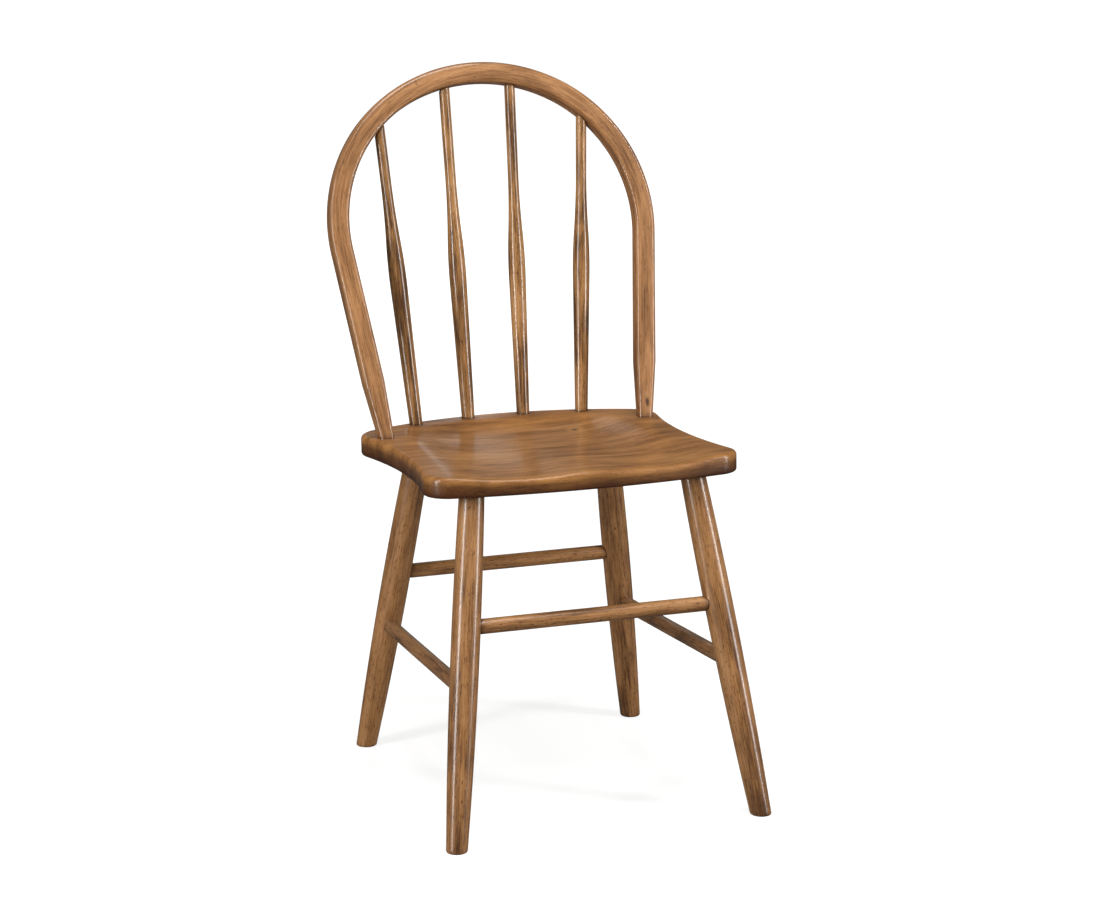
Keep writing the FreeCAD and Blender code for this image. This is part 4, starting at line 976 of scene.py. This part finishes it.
# %% Boards
BOARDS = ("seat_board_front", "seat_board_front_middle", "seat_board_rear_middle", "seat_board_rear")
# How far each board's grain is shifted in its plank, so that the figure breaks at every glue line.
GRAIN_STEPS = (0.0, 0.37, 0.61, 1.04)
SEAT_BACK_WAY = (0.0, math.cos(SEAT_TILT), -math.sin(SEAT_TILT))


def cut_at(work, line, keep_behind):
    """Cuts a bmesh at a glue line, keeps one side and closes the cut with a flat face."""
    place = from_seat(0.0, line * BOARD_WIDTH - front_edge, 0.0)
    made = bmesh.ops.bisect_plane(work, geom=work.verts[:] + work.edges[:] + work.faces[:],
                                  plane_co=place.tolist(), plane_no=SEAT_BACK_WAY,
                                  clear_inner=keep_behind, clear_outer=not keep_behind)
    rim = [part for part in made["geom_cut"] if isinstance(part, bmesh.types.BMEdge)]
    made = bmesh.ops.edgeloop_fill(work, edges=rim)
    for part in made["faces"] + rim:
        part.smooth = False


def make_board(whole, number):
    """One board: a copy of the whole seat's mesh, cut at its front and its rear line."""
    mesh = whole.data.copy()
    mesh.name = BOARDS[number]
    work = bmesh.new()
    work.from_mesh(mesh)
    if number > 0:
        cut_at(work, number, True)
    if number + 1 < len(BOARDS):
        cut_at(work, number + 1, False)
    bmesh.ops.recalc_face_normals(work, faces=work.faces[:])
    work.to_mesh(mesh)
    work.free()
    grain = np.zeros(len(mesh.vertices) * 3, np.float32)
    mesh.attributes["grain"].data.foreach_get("vector", grain)
    mesh.attributes["grain"].data.foreach_set("vector", grain + np.float32(GRAIN_STEPS[number]))
    return dress(new_object(BOARDS[number], mesh), "seat_wood", BOARDS[number])


middles = np.array([[0.0, 0.0, -SEAT_THICKNESS], [0.0, 0.0, -float(dish_depth(0.0, 0.0))]])
whole_seat = skin("seat_skin", from_seat(*np.moveaxis(flat_rings, -1, 0)), flat_rings,
                  from_seat(*middles.T), middles, seat_shade(flat_rings))
boards = [make_board(whole_seat, number) for number in range(len(BOARDS))]
bpy.data.objects.remove(whole_seat)
print("Boards:", [(board.name, len(board.data.polygons)) for board in boards])

# %% [markdown]
# ## What wood looks like
# Close-grained furniture wood shows long soft streaks where rings were cut, thin lines within them, cloudy
# patches where stain soaked in unevenly, and short dark flecks. One shader group draws all four from a
# point's place in its plank, and each wood uses it with its own amounts. An image texture could show real
# boards, but would stretch at the bends and show seams at the joints.

# %% Wood group
# For each part: its noise's cells in a metre along and across the plank, its detail and roughness, and the
# noise levels that count as none and as full.
FIGURE_PARTS = {
    "Streaks": ((6.0, 80.0, 80.0), 3.0, 0.55, 0.28, 0.72),
    "Lines": ((26.0, 520.0, 520.0), 3.0, 0.60, 0.28, 0.72),
    "Clouds": ((9.0, 30.0, 30.0), 4.0, 0.55, 0.22, 0.78),
    "Flecks": ((150.0, 620.0, 620.0), 2.0, 0.55, 0.56, 0.74),
}
LINE_HEIGHT = 0.4


def wood_group():
    """Noise stretched along the plank, one for each part of the figure, from -0.5 to 0.5.

    Tone is 0.5 plus each part but the flecks times its amount. Their mask is their noise from 0 to 1 times
    their amount, and Height is what the lacquer doesn't fill: the lines less the flecks.
    """
    group, given, result = new_group(
        "wood_figure", [("Vector", "Place")] + [("Float", label) for label in FIGURE_PARTS],
        [("Float", "Tone"), ("Float", "Fleck Mask"), ("Float", "Height")])
    amounts = given.outputs
    parts = {}
    for label, (stretch, detail, roughness, low, high) in FIGURE_PARTS.items():
        moved = add(group, "VectorMath", operation="MULTIPLY", in0=amounts["Place"], in1=stretch)
        noise = add(group, "TexNoise", {
            "Vector": moved.outputs[0], "Scale": 1.0, "Detail": detail, "Roughness": roughness})
        parts[label] = ranged(group, noise.outputs[0], low, high, -0.5, 0.5)
    tone = maths(group, "MULTIPLY", parts["Streaks"], amounts["Streaks"])
    for label in ("Lines", "Clouds"):
        tone = maths(group, "ADD", tone, maths(group, "MULTIPLY", parts[label], amounts[label]))
    mask = maths(group, "MULTIPLY", maths(group, "ADD", parts["Flecks"], 0.5), amounts["Flecks"])
    height = maths(group, "SUBTRACT", maths(group, "MULTIPLY", parts["Lines"], LINE_HEIGHT), mask)
    fill(group, result, {"Tone": maths(group, "ADD", tone, 0.5), "Fleck Mask": mask, "Height": height})
    return group


figure = wood_group()
print("Wood group:", len(figure.nodes), "nodes")

# %% [markdown]
# ## Knots
# A small branch left a dark spot in the seat and another in the hoop's right foot. A knot could be painted on
# an image, but a distance from a point is enough: near it the wood is dark, and a paler ring lies around.

# %% Knot group
KNOT_WOBBLE_SCALE = 260.0
# Distances, in sizes of the knot, between which its core and its ring fade from their most to nothing.
KNOT_CORE = (0.9, 1.9, 0.9, 0.0)
KNOT_RING = (1.4, 4.0, 0.55, 0.0)
# Where a knot is on the chair, and its half sizes along X, Y and Z.
SEAT_KNOT = ((0.082, 0.097, 0.4363), (0.0050, 0.0055, 0.02))
HOOP_KNOT = ((0.1845, 0.0945, 0.468), (0.0030, 0.02, 0.0070))


def knot_group():
    """Core and Ring fall smoothly with the distance from the centre in sizes, and noise adds a wobble."""
    group, given, result = new_group(
        "knot_figure", [("Vector", "Place"), ("Vector", "Centre"), ("Vector", "Size")],
        [("Float", "Core"), ("Float", "Ring")])
    place = given.outputs["Place"]
    away = add(group, "VectorMath", operation="SUBTRACT", in0=place, in1=given.outputs["Centre"])
    scaled = add(group, "VectorMath", operation="DIVIDE", in0=away.outputs[0], in1=given.outputs["Size"])
    length = add(group, "VectorMath", operation="LENGTH", in0=scaled.outputs[0])
    wobble = add(group, "TexNoise", {"Vector": place, "Scale": KNOT_WOBBLE_SCALE})
    distance = maths(group, "ADD", length.outputs["Value"], wobble.outputs[0])
    fill(group, result, {"Core": ranged(group, distance, *KNOT_CORE),
                         "Ring": ranged(group, distance, *KNOT_RING)})
    return group


knot_figure = knot_group()
print("Knot group:", len(knot_figure.nodes), "nodes")

# %% [markdown]
# ## Stained and lacquered
# A colour ramp turns the group's tone into three stains: the deep brown of the streaks, the body colour, and
# the honey where the stain was wiped thin. A clear coat on the Principled shader is the lacquer, because a
# second glossy shader would have to be mixed by hand. Seat, hoop, spindles and legs differ a little.

# %% Wood material
FLECK_STAIN = linear(150, 128, 108)
# The colour that painted shade multiplies in at joints and edges.
PAINTED_SHADE_TINT = linear(120, 96, 80)
KNOT_STAIN = linear(62, 38, 22)
# The tones at which the ramp holds the dark, the light and the middle stain.
TONE_STOPS = (0.12, 0.90, 0.5)
WOOD_SPECULAR = 0.2
# The dark tones are duller and the light ones smoother by these amounts, between these two tones.
DULLER = 0.06
SMOOTHER = 0.05
SHEEN_TONES = (0.1, 0.9)
GRAIN_BUMP = {"Strength": 0.15, "Distance": 0.0004}


def wood(name, stains, amounts, roughness, coat, coat_roughness, knot):
    """A lacquered wood. The stains are dark, middle and light, and the coat is the lacquer."""
    dark, middle, light = (linear(*stain) for stain in stains)
    material, tree = new_material(name)
    place = add(tree, "Attribute", attribute_name="grain").outputs["Vector"]
    grain = add(tree, "Group", {"Place": place, **dict(zip(FIGURE_PARTS, amounts))}, node_tree=figure)
    tone = grain.outputs["Tone"]
    ramp = add(tree, "ValToRGB", in0=tone)
    stops = ramp.color_ramp.elements
    stops[0].position, stops[1].position, halfway = TONE_STOPS
    stops[0].color, stops[1].color = dark, light
    stops.new(halfway).color = middle
    wood_colour = mixed(tree, "MULTIPLY", grain.outputs["Fleck Mask"], ramp.outputs[0], FLECK_STAIN)
    if knot:
        spot = add(tree, "Group", {"Place": add(tree, "TexCoord").outputs["Object"],
                                   "Centre": knot[0], "Size": knot[1]}, node_tree=knot_figure)
        wood_colour = mixed(tree, "MIX", spot.outputs["Ring"], wood_colour, light)
        wood_colour = mixed(tree, "MIX", spot.outputs["Core"], wood_colour, KNOT_STAIN)
    # Painted shade: joints and the seat's lower side are drawn darker.
    gathered = add(tree, "Attribute", attribute_name="gathered")
    wood_colour = mixed(tree, "MULTIPLY", gathered.outputs["Fac"], wood_colour, PAINTED_SHADE_TINT)
    bump = add(tree, "Bump", {"Height": grain.outputs["Height"], **GRAIN_BUMP})
    shader = add(tree, "BsdfPrincipled", {
        "Base Color": wood_colour,
        "Roughness": ranged(tree, tone, *SHEEN_TONES, roughness + DULLER, roughness - SMOOTHER),
        "Specular IOR Level": WOOD_SPECULAR,
        "Coat Weight": coat,
        "Coat Roughness": coat_roughness,
        "Normal": bump.outputs[0],
    })
    add(tree, "OutputMaterial", in0=shader.outputs[0])
    return material


def finish_with(material, pieces):
    """Gives pieces this one material."""
    for piece in pieces:
        piece.data.materials.clear()
        piece.data.materials.append(material)


# Each wood's pieces, and then what wood() asks for.
WOODS = {
    "seat_wood": (boards, ((98, 60, 26), (141, 95, 49), (170, 120, 66)),
                  (0.24, 0.26, 0.58, 0.55), 0.50, 0.50, 0.22, SEAT_KNOT),
    "hoop_wood": ([hoop_piece], ((92, 58, 30), (138, 96, 58), (168, 122, 80)),
                  (0.38, 0.42, 0.34, 0.60), 0.50, 0.80, 0.15, HOOP_KNOT),
    "spindle_wood": (spindle_pieces, ((78, 50, 24), (142, 101, 58), (174, 130, 84)),
                     (0.50, 0.45, 0.60, 1.0), 0.45, 1.0, 0.17, None),
    "leg_wood": (leg_pieces + stretcher_pieces, ((82, 51, 24), (140, 97, 56), (168, 122, 77)),
                 (0.36, 0.40, 0.52, 1.0), 0.48, 1.0, 0.24, None),
}
for name, (pieces, *looks) in WOODS.items():
    finish_with(wood(name, *looks), pieces)
print("Woods:", list(WOODS))

# %% [markdown]
# ## Screws under the seat
# Two plated screws hold the hoop's feet from below. Their construction shape is already right, so they only
# get a metal: brushed zinc, a little uneven in its shine, from noise on Object coordinates.

# %% Screw metal
ZINC_DARK = linear(150, 148, 142)
ZINC_LIGHT = linear(186, 184, 176)
ZINC_NOISE_SCALE = 900.0
ZINC_NOISE_RANGE = (0.3, 0.7)
ZINC_ROUGHNESS = (0.28, 0.44)


def screw_metal():
    """A metal whose tint and roughness wander with noise between two values."""
    material, tree = new_material("screw_steel")
    noise = add(tree, "TexNoise", {
        "Vector": add(tree, "TexCoord").outputs["Object"], "Scale": ZINC_NOISE_SCALE}).outputs[0]
    shader = add(tree, "BsdfPrincipled", {
        "Base Color": mixed(tree, "MIX", noise, ZINC_DARK, ZINC_LIGHT), "Metallic": 1.0,
        "Roughness": ranged(tree, noise, *ZINC_NOISE_RANGE, *ZINC_ROUGHNESS)})
    add(tree, "OutputMaterial", in0=shader.outputs[0])
    return material


finish_with(screw_metal(), [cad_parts["hoop_screws"]])
print("Screws have their metal")
